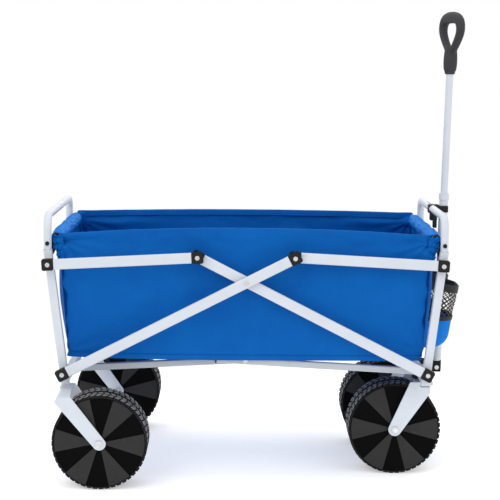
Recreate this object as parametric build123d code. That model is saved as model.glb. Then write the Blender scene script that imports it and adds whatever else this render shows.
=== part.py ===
from build123d import *
import os
from math import atan2, cos, degrees, hypot, radians, sin, tan

# Collapsible beach cart. +X is the front (handle end), +Z up, the ground at Z = 0.
# X is measured from mid-span while modelling and moved at the end, so that the
# origin lies under the centre of the whole cart's box.

# ---- folding frame ----
WHEEL_R = 114.0
POST_FOOT_Z = 2 * WHEEL_R + 8.0
SPAN_HALF = 440.0  # lower pivots, from mid-span
LOWER_PIVOT_Z = POST_FOOT_Z + 30.0
CROSS_PIVOT_Z = LOWER_PIVOT_Z + 225.0  # where the long bars cross
KNUCKLE_ARM = 131.0  # long bar past the crossing
POST_RISE = 268.0  # lower to upper pivot along a post
POST_LEAN = 6.9  # degrees outward
RAIL_MEET_Z = LOWER_PIVOT_Z + 24.0
RAIL_LAP = 70.0  # each floor rail past the middle

# ---- tubes ----
POST_SIZE = 20.0
POST_Y = 235.0
POST_WALL = 1.5
POST_TOP_Z = LOWER_PIVOT_Z + 298.0
BAR_DEPTH = 12.0
BAR_HEIGHT = 25.0
BAR_WALL = 1.3
BAR_CORNER = 3.0
BAR_GAP = 3.0  # between the two layers of bars
POST_TO_BARS = 6.0
RAIL_DEPTH = 15.0
RAIL_HEIGHT = 16.0
RAIL_GAP = 1.0
RAIL_TO_POST = 5.0
CROSS_TUBE_HEIGHT = 18.0
CROSS_TUBE_Z = POST_FOOT_Z + 11.0

# ---- fittings and pins ----
BLOCK = 28.0
BLOCK_PROUD = 0.8
BLOCK_CHAMFER = 3.0
SPIGOT = 24.0
PIN_R = 4.0
PIN_HEAD_R = 5.5
PIN_HEAD = 2.0
SHOULDER_R = 7.0
FIT = 0.05  # radial running clearance
SIDE_PLAY = 0.2
CAP = 4.0
CAP_PLUG = 18.0
PLUG_EASE = 0.3
FOOT_CAP = 2.0
FOOT_PLUG = 14.0

# ---- carry bars and rim ----
BAR_TUBE_R = 9.5
BAR_TUBE_WALL = 1.3
CARRY_BAR_Z = POST_TOP_Z + 81.0
CARRY_BEND_R = 32.0
PLUG_R = 5.0
PLUG_Z = POST_TOP_Z + 15.0
RIM_X = SPAN_HALF + 15.0
RIM_Z = POST_TOP_Z + 28.0
RIM_TUBE_R = 9.0
RIM_TUBE_WALL = 1.2
SLEEVE_R = 14.0
BRACKET_DEPTH = 6.0
BRACKET_FOOT_Z = POST_TOP_Z - 14.0

# ---- wheels and forks ----
WHEEL_WIDTH = 100.0
TYRE_DEPTH = 13.0
TYRE_SHOULDER = 7.0
GROOVE_WIDTH = 7.0
GROOVE_DEPTH = 4.0
FACE_INSET = 6.0
FACE_THICK = 3.5
SECTORS = 6
SECTOR_RISE = 1.6
SECTOR_HALF = 15.0  # degrees
SECTOR_MARGIN = 7.0  # to the rim
HUB_R = 15.0
AXLE_R = 5.0
AXLE_HEAD_R = 8.0
AXLE_HEAD = 5.0
BLADE_TIP_R = 16.0
BLADE_THICK = 4.0
BLADE_GAP = 4.0  # wheel to blade
REAR_AXLE_X = SPAN_HALF - 94.0
REAR_WHEEL_Y = POST_Y + 49.0
REAR_CROWN_X = SPAN_HALF - 10.0
REAR_CROWN = 44.0
CROWN_THICK = 9.0
CROWN_DROP = 10.0
CASTER_X = SPAN_HALF
CASTER_Y = 132.0
TRAIL = 69.0
CASTER_CROWN = 46.0
CASTER_TOP_Z = POST_FOOT_Z - 2.0
STEM_R = 6.0
SOCKET = 44.0
SOCKET_TOP_Z = POST_FOOT_Z + 26.0
STEM_NUT_R = 10.0
STEM_NUT = 4.0

# ---- tub ----
CLOTH = 2.5
CLOTH_GAP = 0.3
SIDE_OUTER_Y = POST_Y - 11.0
FLOOR_Z = LOWER_PIVOT_Z + 37.0
FLOOR_THICK = 6.0
END_FOOT_X = SPAN_HALF - 12.0
END_TOP_X = SPAN_HALF + 8.0
RIM_END_Z = RIM_Z + 6.0
RIM_MID_Z = RIM_Z + 23.0
HEM_END_Z = FLOOR_Z + 4.0
HEM_MID_Z = FLOOR_Z - 9.0
POCKET_TOP_Z = FLOOR_Z + 177.0
POCKET_FOOT_Z = FLOOR_Z + 10.0
POCKET_TOP_X = SPAN_HALF + 90.0
POCKET_FOOT_X = SPAN_HALF + 60.0
POCKET_INNER_Y = 30.0
POCKET_OUTER_Y = 150.0
POCKET_ROUND = 25.0

# ---- handle ----
HANDLE_X = SPAN_HALF + 55.0
HANDLE_Z = POST_FOOT_Z - 1.0
HANDLE_LEAN = 1.3
FOOT_R = 13.0
FOOT_HALF_Y = 10.0
EAR_THICK = 4.0
OUTER_R = 11.0
INNER_R = 9.0
HANDLE_WALL = 1.2
OUTER_FOOT = 28.0  # outer tube's lower end above the pivot
OUTER_TOP = 445.0
HANDLE_TRAVEL = 290.0
INNER_FOOT = OUTER_FOOT + HANDLE_TRAVEL + 27.0
COLLAR_R = 13.0
COLLAR = 16.0
GRIP_FOOT = 745.0
GRIP_HEIGHT = 152.0
GRIP_WIDTH = 112.0
GRIP_THICK = 25.0
GRIP_TURN = 17.0
GRIP_SOCKET = 38.0
GRIP_HOLE_FOOT = 52.0  # above the grip's lower end
GRIP_ROUND = 5.5
GRIP_HOLE_ROUND = 3.0
GRIP_CORNER = 26.0
STRAND = 17.0
NECK_R = 15.0
BUTTON_R = 6.0
BUTTON_UP = 57.0  # above the grip's lower end
BUTTON_LENGTH = 7.0
BUTTON_PROUD = 3.0
CLIP_HALF_Y = 15.0
CLIP_TALL = 32.0
CLIP_REACH = 17.0

# ---- derived: the folding linkage ----
CROSS_ARM = hypot(SPAN_HALF, CROSS_PIVOT_Z - LOWER_PIVOT_Z)
BAR_ANGLE = degrees(atan2(CROSS_PIVOT_Z - LOWER_PIVOT_Z, SPAN_HALF))
BAR_LENGTH = CROSS_ARM + KNUCKLE_ARM
KNUCKLE_X = KNUCKLE_ARM * cos(radians(BAR_ANGLE))
KNUCKLE_Z = CROSS_PIVOT_Z + KNUCKLE_ARM * sin(radians(BAR_ANGLE))
UPPER_PIVOT_X = SPAN_HALF + POST_RISE * sin(radians(POST_LEAN))
UPPER_PIVOT_Z = LOWER_PIVOT_Z + POST_RISE * cos(radians(POST_LEAN))
TOP_BAR_LENGTH = hypot(UPPER_PIVOT_X - KNUCKLE_X, KNUCKLE_Z - UPPER_PIVOT_Z)
TOP_BAR_ANGLE = degrees(atan2(KNUCKLE_Z - UPPER_PIVOT_Z, UPPER_PIVOT_X - KNUCKLE_X))
RAIL_ARM = hypot(SPAN_HALF, RAIL_MEET_Z - LOWER_PIVOT_Z)
RAIL_ANGLE = degrees(atan2(RAIL_MEET_Z - LOWER_PIVOT_Z, SPAN_HALF))

# ---- derived: layers across the cart, as distances from the middle plane ----
POST_IN = POST_Y - POST_SIZE / 2
POST_OUT = POST_Y + POST_SIZE / 2
INNER_BAR_Y = POST_OUT + POST_TO_BARS + BAR_DEPTH / 2
OUTER_BAR_Y = INNER_BAR_Y + BAR_DEPTH + BAR_GAP
FRONT_RAIL_Y = POST_IN - RAIL_TO_POST - RAIL_DEPTH / 2
REAR_RAIL_Y = FRONT_RAIL_Y - RAIL_DEPTH - RAIL_GAP
SIDE_INNER_Y = SIDE_OUTER_Y - CLOTH
RIM_R = WHEEL_R - TYRE_DEPTH
FORK_HALF = WHEEL_WIDTH / 2 + BLADE_GAP
CASTER_AXLE_X = CASTER_X - TRAIL
END_SLOPE = (END_TOP_X - END_FOOT_X) / (RIM_Z - FLOOR_Z)


def group(*shapes):
    """Separate solids kept together in one node."""
    return Compound([solid for shape in shapes for solid in shape.solids()])


def both_sides(shape):
    """The shape and its copy on the other side of the cart."""
    return group(shape, mirror(shape, Plane.XZ))


def to_rear(shape):
    """The same piece at the rear end."""
    return mirror(shape, Plane.YZ)


def rod_y(radius, y_low, y_high, x=0.0, z=0.0):
    """A round bar along Y."""
    length = y_high - y_low
    return Pos(x, (y_low + y_high) / 2, z) * Rot(90, 0, 0) * Cylinder(radius, length)


def plate_y(sketch, y_low, y_high):
    """A flat plate whose outline is drawn in X and Z."""
    return extrude(Plane.XZ.offset(-y_high) * sketch, amount=y_high - y_low)


def box_tube(length, depth, height, wall, corner):
    """A hollow rectangular tube along +X from the origin."""
    outer = RectangleRounded(depth, height, corner)
    inner = RectangleRounded(depth - 2 * wall, height - 2 * wall, corner - wall)
    return extrude(Plane.YZ * (outer - inner), amount=length)


def along(x, y, z, angle):
    """The place of a bar that starts at a point and climbs at an angle in X and Z."""
    return Location((x, y, z), (0, -angle, 0))


def hull(*shapes):
    """The tight outline around flat shapes."""
    return make_hull([edge for shape in shapes for edge in shape.edges()])


# ---- linkage ----


def bar_tube(length, holes=()):
    """A linkage tube between two end blocks, both pivots on its line."""
    tube = box_tube(length - BLOCK, BAR_DEPTH, BAR_HEIGHT, BAR_WALL, BAR_CORNER)
    tube = Pos(BLOCK / 2, 0, 0) * tube
    for hole in holes:
        tube -= rod_y(PIN_R + FIT, -BAR_DEPTH, BAR_DEPTH, x=hole)
    return tube


def end_block():
    """A moulded block on a tube's end; its pivot is at the origin."""
    block = Box(BLOCK, BAR_DEPTH + 2 * BLOCK_PROUD, BLOCK)
    block = chamfer(block.edges().filter_by(Axis.Y), BLOCK_CHAMFER)
    spigot_depth = BAR_DEPTH - 2 * BAR_WALL - 2 * FIT
    spigot_height = BAR_HEIGHT - 2 * BAR_WALL - 2 * FIT
    spigot = extrude(
        Plane.YZ * RectangleRounded(spigot_depth, spigot_height, BAR_CORNER - BAR_WALL),
        amount=SPIGOT,
    )
    block += Pos(BLOCK / 2, 0, 0) * spigot
    return block - rod_y(PIN_R + FIT, -BLOCK, BLOCK)


def end_blocks(length):
    """The blocks at both ends of a bar."""
    return group(end_block(), Pos(length, 0, 0) * Rot(0, 180, 0) * end_block())


def long_bars(place_x, angle, y):
    """The tubes and blocks of one pair of long bars."""
    place = along(place_x, y, LOWER_PIVOT_Z, angle)
    tube = place * bar_tube(BAR_LENGTH, [CROSS_ARM])
    return both_sides(tube), group(both_sides(place * end_blocks(BAR_LENGTH)))


def top_bars(y):
    """The short upper bars at the front, from a post to a knuckle."""
    place = along(UPPER_PIVOT_X, y, UPPER_PIVOT_Z, 180 - TOP_BAR_ANGLE)
    tube = place * bar_tube(TOP_BAR_LENGTH)
    return both_sides(tube), group(both_sides(place * end_blocks(TOP_BAR_LENGTH)))


def cross_rivets():
    """Rivets through both long bars where they cross."""
    outer = OUTER_BAR_Y + BAR_DEPTH / 2
    inner = INNER_BAR_Y - BAR_DEPTH / 2
    rivet = rod_y(PIN_R, inner - SIDE_PLAY, outer)
    rivet += rod_y(PIN_HEAD_R, outer, outer + PIN_HEAD)
    rivet += rod_y(PIN_HEAD_R, inner - SIDE_PLAY - PIN_HEAD, inner - SIDE_PLAY)
    return both_sides(Pos(0, 0, CROSS_PIVOT_Z) * rivet)


def knuckle_rivets():
    """Rivets in the outer bar of a knuckle; the shank stops short of the inner bar."""
    face = OUTER_BAR_Y + BAR_DEPTH / 2 + BLOCK_PROUD
    back = OUTER_BAR_Y - BAR_DEPTH / 2 - BLOCK_PROUD
    rivet = rod_y(PIN_R, back + FIT, face)
    rivet += rod_y(PIN_HEAD_R, face, face + PIN_HEAD)
    return both_sides(Pos(KNUCKLE_X, 0, KNUCKLE_Z) * rivet)


def post_pins(bar_y, rail_y):
    """The pins through one end's posts, for the bars outside and the rails inside."""
    bar_in = bar_y - BAR_DEPTH / 2 - BLOCK_PROUD
    bar_out = bar_y + BAR_DEPTH / 2 + BLOCK_PROUD
    rail_out = rail_y + RAIL_DEPTH / 2
    rail_in = rail_y - RAIL_DEPTH / 2
    head_z = bar_out + SIDE_PLAY

    def outer_part(inner_end):
        pin = rod_y(PIN_R, inner_end, head_z)
        pin += rod_y(SHOULDER_R, POST_OUT, bar_in - SIDE_PLAY)
        return pin + rod_y(PIN_HEAD_R, head_z, head_z + PIN_HEAD)

    lower = outer_part(rail_in - SIDE_PLAY)
    lower += rod_y(SHOULDER_R - 1, rail_out + SIDE_PLAY, POST_IN)
    lower += rod_y(PIN_HEAD_R, rail_in - SIDE_PLAY - PIN_HEAD, rail_in - SIDE_PLAY)
    upper = outer_part(POST_IN)
    return lower, upper


def frame_pins(top_y, low_y, rail_y):
    """All four pivot pins of the front end frame."""
    lower = post_pins(low_y, rail_y)[0]
    upper = post_pins(top_y, rail_y)[1]
    lower = Pos(SPAN_HALF, 0, LOWER_PIVOT_Z) * lower
    upper = Pos(UPPER_PIVOT_X, 0, UPPER_PIVOT_Z) * upper
    return group(both_sides(lower), both_sides(upper))


def floor_rail(y, lap_hole):
    """One pair of front floor rails, from the lower pivots past mid-span."""
    length = RAIL_ARM + RAIL_LAP
    rail = box_tube(length, RAIL_DEPTH, RAIL_HEIGHT, POST_WALL, 2.5)
    eye = rod_y(RAIL_HEIGHT / 2, -RAIL_DEPTH / 2, RAIL_DEPTH / 2)
    rail += eye
    rail -= rod_y(PIN_R + FIT, -RAIL_DEPTH, RAIL_DEPTH)
    if lap_hole:
        rail -= rod_y(PIN_R + FIT, -RAIL_DEPTH, RAIL_DEPTH, x=RAIL_ARM)
    place = along(SPAN_HALF, y, LOWER_PIVOT_Z, 180 - RAIL_ANGLE)
    return both_sides(place * rail)


def rail_caps():
    """End caps of the front floor rails."""
    inside = 2 * POST_WALL + 2 * PLUG_EASE
    plug = Box(CAP_PLUG, RAIL_DEPTH - inside, RAIL_HEIGHT - inside)
    cap = Pos(CAP / 2, 0, 0) * Box(CAP, RAIL_DEPTH, RAIL_HEIGHT)
    cap = chamfer(cap.edges().filter_by(Axis.X), 1.0)
    cap += Pos(-CAP_PLUG / 2, 0, 0) * plug
    place = along(SPAN_HALF, FRONT_RAIL_Y, LOWER_PIVOT_Z, 180 - RAIL_ANGLE)
    return both_sides(place * Pos(RAIL_ARM + RAIL_LAP, 0, 0) * cap)


def rail_rivets():
    """Lap rivets at mid-span, held by the front rails alone."""
    face = FRONT_RAIL_Y + RAIL_DEPTH / 2
    back = FRONT_RAIL_Y - RAIL_DEPTH / 2
    rivet = rod_y(PIN_R, back, face)
    rivet += rod_y(PIN_HEAD_R, face, face + SIDE_INNER_Y - face - CLOTH_GAP)
    return both_sides(Pos(0, 0, RAIL_MEET_Z) * rivet)


# ---- end frames, modelled at the front ----


def post_line_x(z):
    """Where the leaning line of a post stands at a height."""
    return SPAN_HALF + (z - LOWER_PIVOT_Z) * tan(radians(POST_LEAN))


def posts(foot_z):
    """The two leaning posts, cut level at both ends and bored for their pins."""
    place = Location((SPAN_HALF, POST_Y, LOWER_PIVOT_Z), (0, POST_LEAN, 0))
    tall = POST_TOP_Z - foot_z
    tube = box_tube(2 * tall, POST_SIZE, POST_SIZE, POST_WALL, BAR_CORNER)
    tube = place * Pos(0, 0, -tall) * Rot(0, -90, 0) * tube
    keep = Box(tall, 2 * POST_SIZE, tall)
    tube &= Pos(SPAN_HALF, POST_Y, (POST_TOP_Z + foot_z) / 2) * keep
    for x, z in ((SPAN_HALF, LOWER_PIVOT_Z), (UPPER_PIVOT_X, UPPER_PIVOT_Z)):
        tube -= rod_y(PIN_R + FIT, POST_IN - 5, POST_OUT + 5, x, z)
    return both_sides(tube)


def cross_tube_body(holes):
    """The lower tube between the posts, with holes for the caster stems."""
    tube = box_tube(2 * POST_IN, POST_SIZE, CROSS_TUBE_HEIGHT, POST_WALL, BAR_CORNER)
    tube = Pos(post_line_x(CROSS_TUBE_Z), -POST_IN, CROSS_TUBE_Z) * Rot(0, 0, 90) * tube
    for y in holes:
        tube -= Pos(CASTER_X, y, CROSS_TUBE_Z) * Cylinder(STEM_R + FIT, 60)
    return tube


def foot_caps():
    """Plastic caps under the front posts."""
    x = post_line_x(POST_FOOT_Z)
    cap = Pos(x, POST_Y, POST_FOOT_Z - FOOT_CAP / 2) * Box(POST_SIZE, POST_SIZE, FOOT_CAP)
    lean = tan(radians(POST_LEAN)) * FOOT_PLUG
    across = POST_SIZE - 2 * POST_WALL - 2 * PLUG_EASE
    plug = Box(across - lean, across, FOOT_PLUG)
    cap += Pos(x + lean / 2, POST_Y, POST_FOOT_Z + FOOT_PLUG / 2 - 1) * plug
    return both_sides(cap)


def carry_bar(slots):
    """The U-shaped tube above an end frame, with round corners."""
    x = post_line_x(POST_TOP_Z)
    path = FilletPolyline(
        (x, -POST_Y, POST_TOP_Z),
        (x, -POST_Y, CARRY_BAR_Z),
        (x, POST_Y, CARRY_BAR_Z),
        (x, POST_Y, POST_TOP_Z),
        radius=CARRY_BEND_R,
    )
    section = Circle(BAR_TUBE_R) - Circle(BAR_TUBE_R - BAR_TUBE_WALL)
    bar = sweep(Plane((x, -POST_Y, POST_TOP_Z), z_dir=(0, 0, 1)) * section, path=path)
    for side in (-1, 1):
        low, high = sorted((side * (POST_Y + 1), side * (POST_Y + 20)))
        bar -= rod_y(PLUG_R + FIT, low, high, x, PLUG_Z)
    for y in slots:
        bar -= Pos(x, y, CARRY_BAR_Z + BAR_TUBE_R) * Rot(0, 0, 90) * extrude(
            SlotOverall(14, 6), amount=3, both=True
        )
    return bar


def carry_plugs():
    """Round black buttons on the carry bar's legs."""
    x = post_line_x(POST_TOP_Z)
    plug = rod_y(PLUG_R, POST_Y + 3, POST_Y + BAR_TUBE_R + 2.5, x, PLUG_Z)
    return both_sides(plug)


def rim_tube():
    """The steel tube inside the tub's rolled end."""
    end = POST_IN - BRACKET_DEPTH
    tube = rod_y(RIM_TUBE_R, -end, end, RIM_X, RIM_Z)
    return tube - rod_y(RIM_TUBE_R - RIM_TUBE_WALL, -end - 1, end + 1, RIM_X, RIM_Z)


def rim_sleeve():
    """The rolled cloth around the rim tube."""
    end = POST_IN - BRACKET_DEPTH - 1
    roll = rod_y(SLEEVE_R, -end, end, RIM_X, RIM_Z)
    return roll - rod_y(RIM_TUBE_R + CLOTH_GAP, -end - 1, end + 1, RIM_X, RIM_Z)


def corner_brackets():
    """Black brackets that carry the rim tube on the posts."""
    outline = hull(
        Pos(RIM_X + 1, RIM_Z) * Circle(RIM_TUBE_R + 2),
        Pos(post_line_x(BRACKET_FOOT_Z), BRACKET_FOOT_Z) * Circle(RIM_TUBE_R),
    )
    outline -= Pos(END_TOP_X - 18, RIM_Z) * Rectangle(40, 100)
    return both_sides(plate_y(outline, POST_IN - BRACKET_DEPTH, POST_IN))


# ---- wheels and forks ----


def sector_pad():
    """One raised sector of a wheel's face."""
    across = RIM_R * tan(radians(SECTOR_HALF))
    wedge = Polygon((0, 0), (RIM_R, -across), (RIM_R, across), align=None)
    ring = Circle(RIM_R - SECTOR_MARGIN) - Circle(HUB_R + 3)
    return extrude(wedge & ring, amount=SECTOR_RISE)


def wheel_half():
    """One moulded half of a wheel, on the +Z side of its middle plane."""
    half = WHEEL_WIDTH / 2
    face_z = half - FACE_INSET - FACE_THICK
    shell = Pos(0, 0, face_z) * extrude(Circle(RIM_R), amount=FACE_THICK)
    shell += extrude(Circle(RIM_R) - Circle(RIM_R - FACE_THICK), amount=face_z)
    shell += extrude(Circle(HUB_R), amount=half)
    pad = Pos(0, 0, face_z + FACE_THICK) * sector_pad()
    for n in range(SECTORS):
        shell += Rot(0, 0, 360 / SECTORS * n + SECTOR_HALF) * pad
    return shell - Cylinder(AXLE_R + FIT, 3 * half)


def wheel_halves(x, y):
    """Both halves of a wheel in place."""
    place = Pos(x, y, WHEEL_R)
    half = wheel_half()
    return group(place * Rot(-90, 0, 0) * half, place * Rot(90, 0, 0) * half)


def tyre(x, y):
    """The wide tread ring around a wheel."""
    ring = Cylinder(WHEEL_R, WHEEL_WIDTH)
    ring = fillet(ring.edges().filter_by(GeomType.CIRCLE), TYRE_SHOULDER)
    ring -= Cylinder(RIM_R + FIT, WHEEL_WIDTH + 10)
    groove = Cylinder(WHEEL_R + 5, GROOVE_WIDTH) - Cylinder(WHEEL_R - GROOVE_DEPTH, GROOVE_WIDTH)
    return Pos(x, y, WHEEL_R) * Rot(90, 0, 0) * (ring - groove)


def blade_outline(axle_x, crown_x, crown_size, crown_z, crown_deep):
    """A fork blade from its crown down to the axle."""
    top = Pos(crown_x, crown_z - crown_deep / 2) * Rectangle(crown_size, crown_deep)
    return hull(top, Pos(axle_x, WHEEL_R) * Circle(BLADE_TIP_R))


def rear_fork():
    """A fixed fork under a rear post, on the +Y side."""
    inner = REAR_WHEEL_Y - FORK_HALF
    outer = REAR_WHEEL_Y + FORK_HALF
    low_top = POST_FOOT_Z - CROWN_DROP
    section = Polygon(
        (inner - BLADE_THICK, POST_FOOT_Z),
        (POST_OUT, POST_FOOT_Z),
        (outer + BLADE_THICK, low_top),
        (outer + BLADE_THICK, low_top - CROWN_THICK),
        (POST_OUT, POST_FOOT_Z - CROWN_THICK),
        (inner - BLADE_THICK, POST_FOOT_Z - CROWN_THICK),
        align=None,
    )
    crown = extrude(Plane.YZ * section, amount=REAR_CROWN / 2, both=True)
    fork = Pos(-REAR_CROWN_X, 0, 0) * crown
    for low, top in ((inner - BLADE_THICK, POST_FOOT_Z), (outer, low_top)):
        outline = blade_outline(-REAR_AXLE_X, -REAR_CROWN_X, REAR_CROWN, top, CROWN_THICK)
        fork += plate_y(outline, low, low + BLADE_THICK)
    return fork - rod_y(AXLE_R + FIT, inner - 20, outer + 20, -REAR_AXLE_X, WHEEL_R)


def caster_fork():
    """A swivelling fork with its stem, on the +Y side."""
    inner = CASTER_Y - FORK_HALF
    outer = CASTER_Y + FORK_HALF
    crown = Box(CASTER_CROWN, outer - inner, CROWN_THICK)
    fork = Pos(CASTER_X, CASTER_Y, CASTER_TOP_Z - CROWN_THICK / 2) * crown
    outline = blade_outline(CASTER_AXLE_X, CASTER_X - 8, CASTER_CROWN + 4, CASTER_TOP_Z, 26)
    for low in (inner - BLADE_THICK, outer):
        fork += plate_y(outline, low, low + BLADE_THICK)
    fork -= rod_y(AXLE_R + FIT, inner - 20, outer + 20, CASTER_AXLE_X, WHEEL_R)
    stem = extrude(Circle(STEM_R), amount=SOCKET_TOP_Z + STEM_NUT - CASTER_TOP_Z)
    return fork + Pos(CASTER_X, CASTER_Y, CASTER_TOP_Z) * stem


def stem_nut():
    """The nut on a caster stem, over its socket."""
    nut = extrude(RegularPolygon(STEM_NUT_R, 6), amount=STEM_NUT - SIDE_PLAY)
    nut -= Cylinder(STEM_R + FIT, 40)
    return Pos(CASTER_X, CASTER_Y, SOCKET_TOP_Z + SIDE_PLAY) * nut


def axle_bolt(x, y):
    """An axle with a round head outside and a nut inside the fork, on the +Y side."""
    inner = y - FORK_HALF - BLADE_THICK
    outer = y + FORK_HALF + BLADE_THICK
    bolt = rod_y(AXLE_R, inner - AXLE_HEAD, outer, x, WHEEL_R)
    bolt += rod_y(AXLE_HEAD_R, outer, outer + AXLE_HEAD, x, WHEEL_R)
    return bolt + rod_y(AXLE_HEAD_R, inner - AXLE_HEAD, inner, x, WHEEL_R)


def caster_sockets():
    """Black blocks on the front cross tube that hold the caster stems."""
    tall = SOCKET_TOP_Z - POST_FOOT_Z
    block = Box(SOCKET, SOCKET, tall)
    block = fillet(block.edges().filter_by(Axis.Z), 6)
    block = Pos(CASTER_X, CASTER_Y, POST_FOOT_Z + tall / 2) * block
    tube = Box(POST_SIZE, 200, CROSS_TUBE_HEIGHT)
    block -= Pos(post_line_x(CROSS_TUBE_Z), CASTER_Y, CROSS_TUBE_Z) * tube
    block -= Pos(CASTER_X, CASTER_Y, CROSS_TUBE_Z) * Cylinder(STEM_R + FIT, 80)
    return both_sides(block)


# ---- tub, modelled at the front ----


def end_x(z):
    """The inner face of the end panel at a height."""
    return END_FOOT_X + (z - FLOOR_Z) * END_SLOPE


def end_panel():
    """The cloth panel that closes one end of the tub."""
    low = FLOOR_Z
    high = RIM_Z - SLEEVE_R - CLOTH_GAP
    outline = Polygon(
        (end_x(low), low),
        (end_x(low) + CLOTH, low),
        (end_x(high) + CLOTH, high),
        (end_x(high), high),
        align=None,
    )
    side = SIDE_INNER_Y - CLOTH_GAP
    return plate_y(outline, -side, side)


def side_panels():
    """The front halves of the two long side panels, with a bowed rim and hem."""
    start = CLOTH_GAP / 2
    rim_end = (end_x(RIM_END_Z), RIM_END_Z)
    hem_end = (end_x(HEM_END_Z), HEM_END_Z)
    edges = [
        Line((start, HEM_MID_Z), (start, RIM_MID_Z)),
        TangentArc((start, RIM_MID_Z), rim_end, tangent=(1, 0)),
        Line(rim_end, hem_end),
        TangentArc((start, HEM_MID_Z), hem_end, tangent=(1, 0)),
    ]
    return both_sides(plate_y(make_face(edges), SIDE_INNER_Y, SIDE_OUTER_Y))


def floor_half():
    """The front half of the tub's padded floor."""
    length = END_FOOT_X - CLOTH_GAP
    width = 2 * (SIDE_INNER_Y - CLOTH_GAP)
    floor = extrude(Plane.YZ * Rectangle(width, FLOOR_THICK), amount=length - CLOTH_GAP / 2)
    return Pos(CLOTH_GAP / 2, 0, FLOOR_Z + FLOOR_THICK / 2) * floor


def cup_pockets():
    """Two open pockets on the outside of the front panel."""

    def body(inset, foot, top):
        low_x = end_x(foot) + CLOTH + inset
        top_x = end_x(top) + CLOTH + inset
        out = (POCKET_TOP_X - POCKET_FOOT_X) / (POCKET_TOP_Z - POCKET_FOOT_Z)
        face = POCKET_FOOT_X - inset
        outline = Polygon(
            (low_x, foot),
            (face + (foot - POCKET_FOOT_Z) * out, foot),
            (face + (top - POCKET_FOOT_Z) * out, top),
            (top_x, top),
            align=None,
        )
        shape = plate_y(outline, POCKET_INNER_Y + inset, POCKET_OUTER_Y - inset)
        front = shape.edges().sort_by(lambda edge: edge.center().X)[-4:]
        upright = [edge for edge in front if abs(edge.tangent_at(0.5).Z) > 0.5]
        return fillet(upright, POCKET_ROUND - inset)

    shell = body(0.0, POCKET_FOOT_Z, POCKET_TOP_Z)
    shell -= body(CLOTH, POCKET_FOOT_Z + CLOTH, POCKET_TOP_Z + 20)
    return both_sides(shell)


# ---- handle ----


def handle_place():
    """The handle's own frame: the pivot at its origin and the pole along +Z."""
    return Location((HANDLE_X, 0, HANDLE_Z), (0, HANDLE_LEAN, 0))


def handle_bracket():
    """Two ears on the front cross tube that carry the handle's pivot."""
    base_x = post_line_x(CROSS_TUBE_Z) + POST_SIZE / 2
    inner = FOOT_HALF_Y + SIDE_PLAY
    outline = hull(
        Pos(base_x + 3, CROSS_TUBE_Z) * Rectangle(6, CROSS_TUBE_HEIGHT),
        Pos(HANDLE_X, HANDLE_Z) * Circle(11),
    )
    ears = plate_y(outline, inner, inner + EAR_THICK)
    ears += mirror(ears, Plane.XZ)
    web = Box(6, 2 * (inner + EAR_THICK), CROSS_TUBE_HEIGHT)
    ears += Pos(base_x + 3, 0, CROSS_TUBE_Z) * web
    return ears - rod_y(PIN_R + FIT, -40, 40, HANDLE_X, HANDLE_Z)


def handle_pin():
    """The pin through the bracket's ears."""
    end = FOOT_HALF_Y + SIDE_PLAY + EAR_THICK
    pin = rod_y(PIN_R, -end - 2, end, HANDLE_X, HANDLE_Z)
    pin += rod_y(PIN_HEAD_R, end, end + PIN_HEAD, HANDLE_X, HANDLE_Z)
    return pin + rod_y(PIN_HEAD_R, -end - PIN_HEAD, -end, HANDLE_X, HANDLE_Z)


def handle_foot():
    """The moulded foot that turns on the pin and holds the outer tube."""
    cheek = hull(Circle(FOOT_R), Pos(0, 24) * Rectangle(2 * FOOT_R, 10))
    foot = plate_y(cheek, -FOOT_HALF_Y, FOOT_HALF_Y)
    cup = Cylinder(FOOT_R, 40, align=(Align.CENTER, Align.CENTER, Align.MIN))
    foot += Pos(0, 0, 20) * cup
    bore = Cylinder(OUTER_R + FIT, 60, align=(Align.CENTER, Align.CENTER, Align.MIN))
    foot -= Pos(0, 0, OUTER_FOOT) * bore
    return handle_place() * (foot - rod_y(PIN_R + FIT, -40, 40))


def round_tube(radius, wall, low, high):
    """A hollow round tube along +Z."""
    return Pos(0, 0, low) * extrude(Circle(radius) - Circle(radius - wall), amount=high - low)


def outer_pole():
    """The lower, outer tube of the pole."""
    return handle_place() * round_tube(OUTER_R, HANDLE_WALL, OUTER_FOOT, OUTER_TOP)


def pole_collar():
    """The collar on top of the outer tube that guides the inner one."""
    low = OUTER_TOP - COLLAR + 4
    ring = round_tube(COLLAR_R, COLLAR_R - OUTER_R - FIT, low, OUTER_TOP)
    lip = round_tube(COLLAR_R, COLLAR_R - INNER_R - FIT, OUTER_TOP, low + COLLAR)
    return handle_place() * (ring + lip)


def inner_pole():
    """The upper tube, which slides into the lower one."""
    top = GRIP_FOOT + GRIP_SOCKET
    return handle_place() * round_tube(INNER_R, HANDLE_WALL, INNER_FOOT, top)


def grip_place():
    """The grip's own frame: its lower end at the origin, its loop in Y and Z."""
    return handle_place() * Pos(0, 0, GRIP_FOOT) * Rot(0, 0, GRIP_TURN)


def face_edges(body):
    """The edges that lie on the grip's flat front and back faces."""
    return [e for e in body.edges() if abs(abs(e.center().X) - GRIP_THICK / 2) < 0.01]


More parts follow.
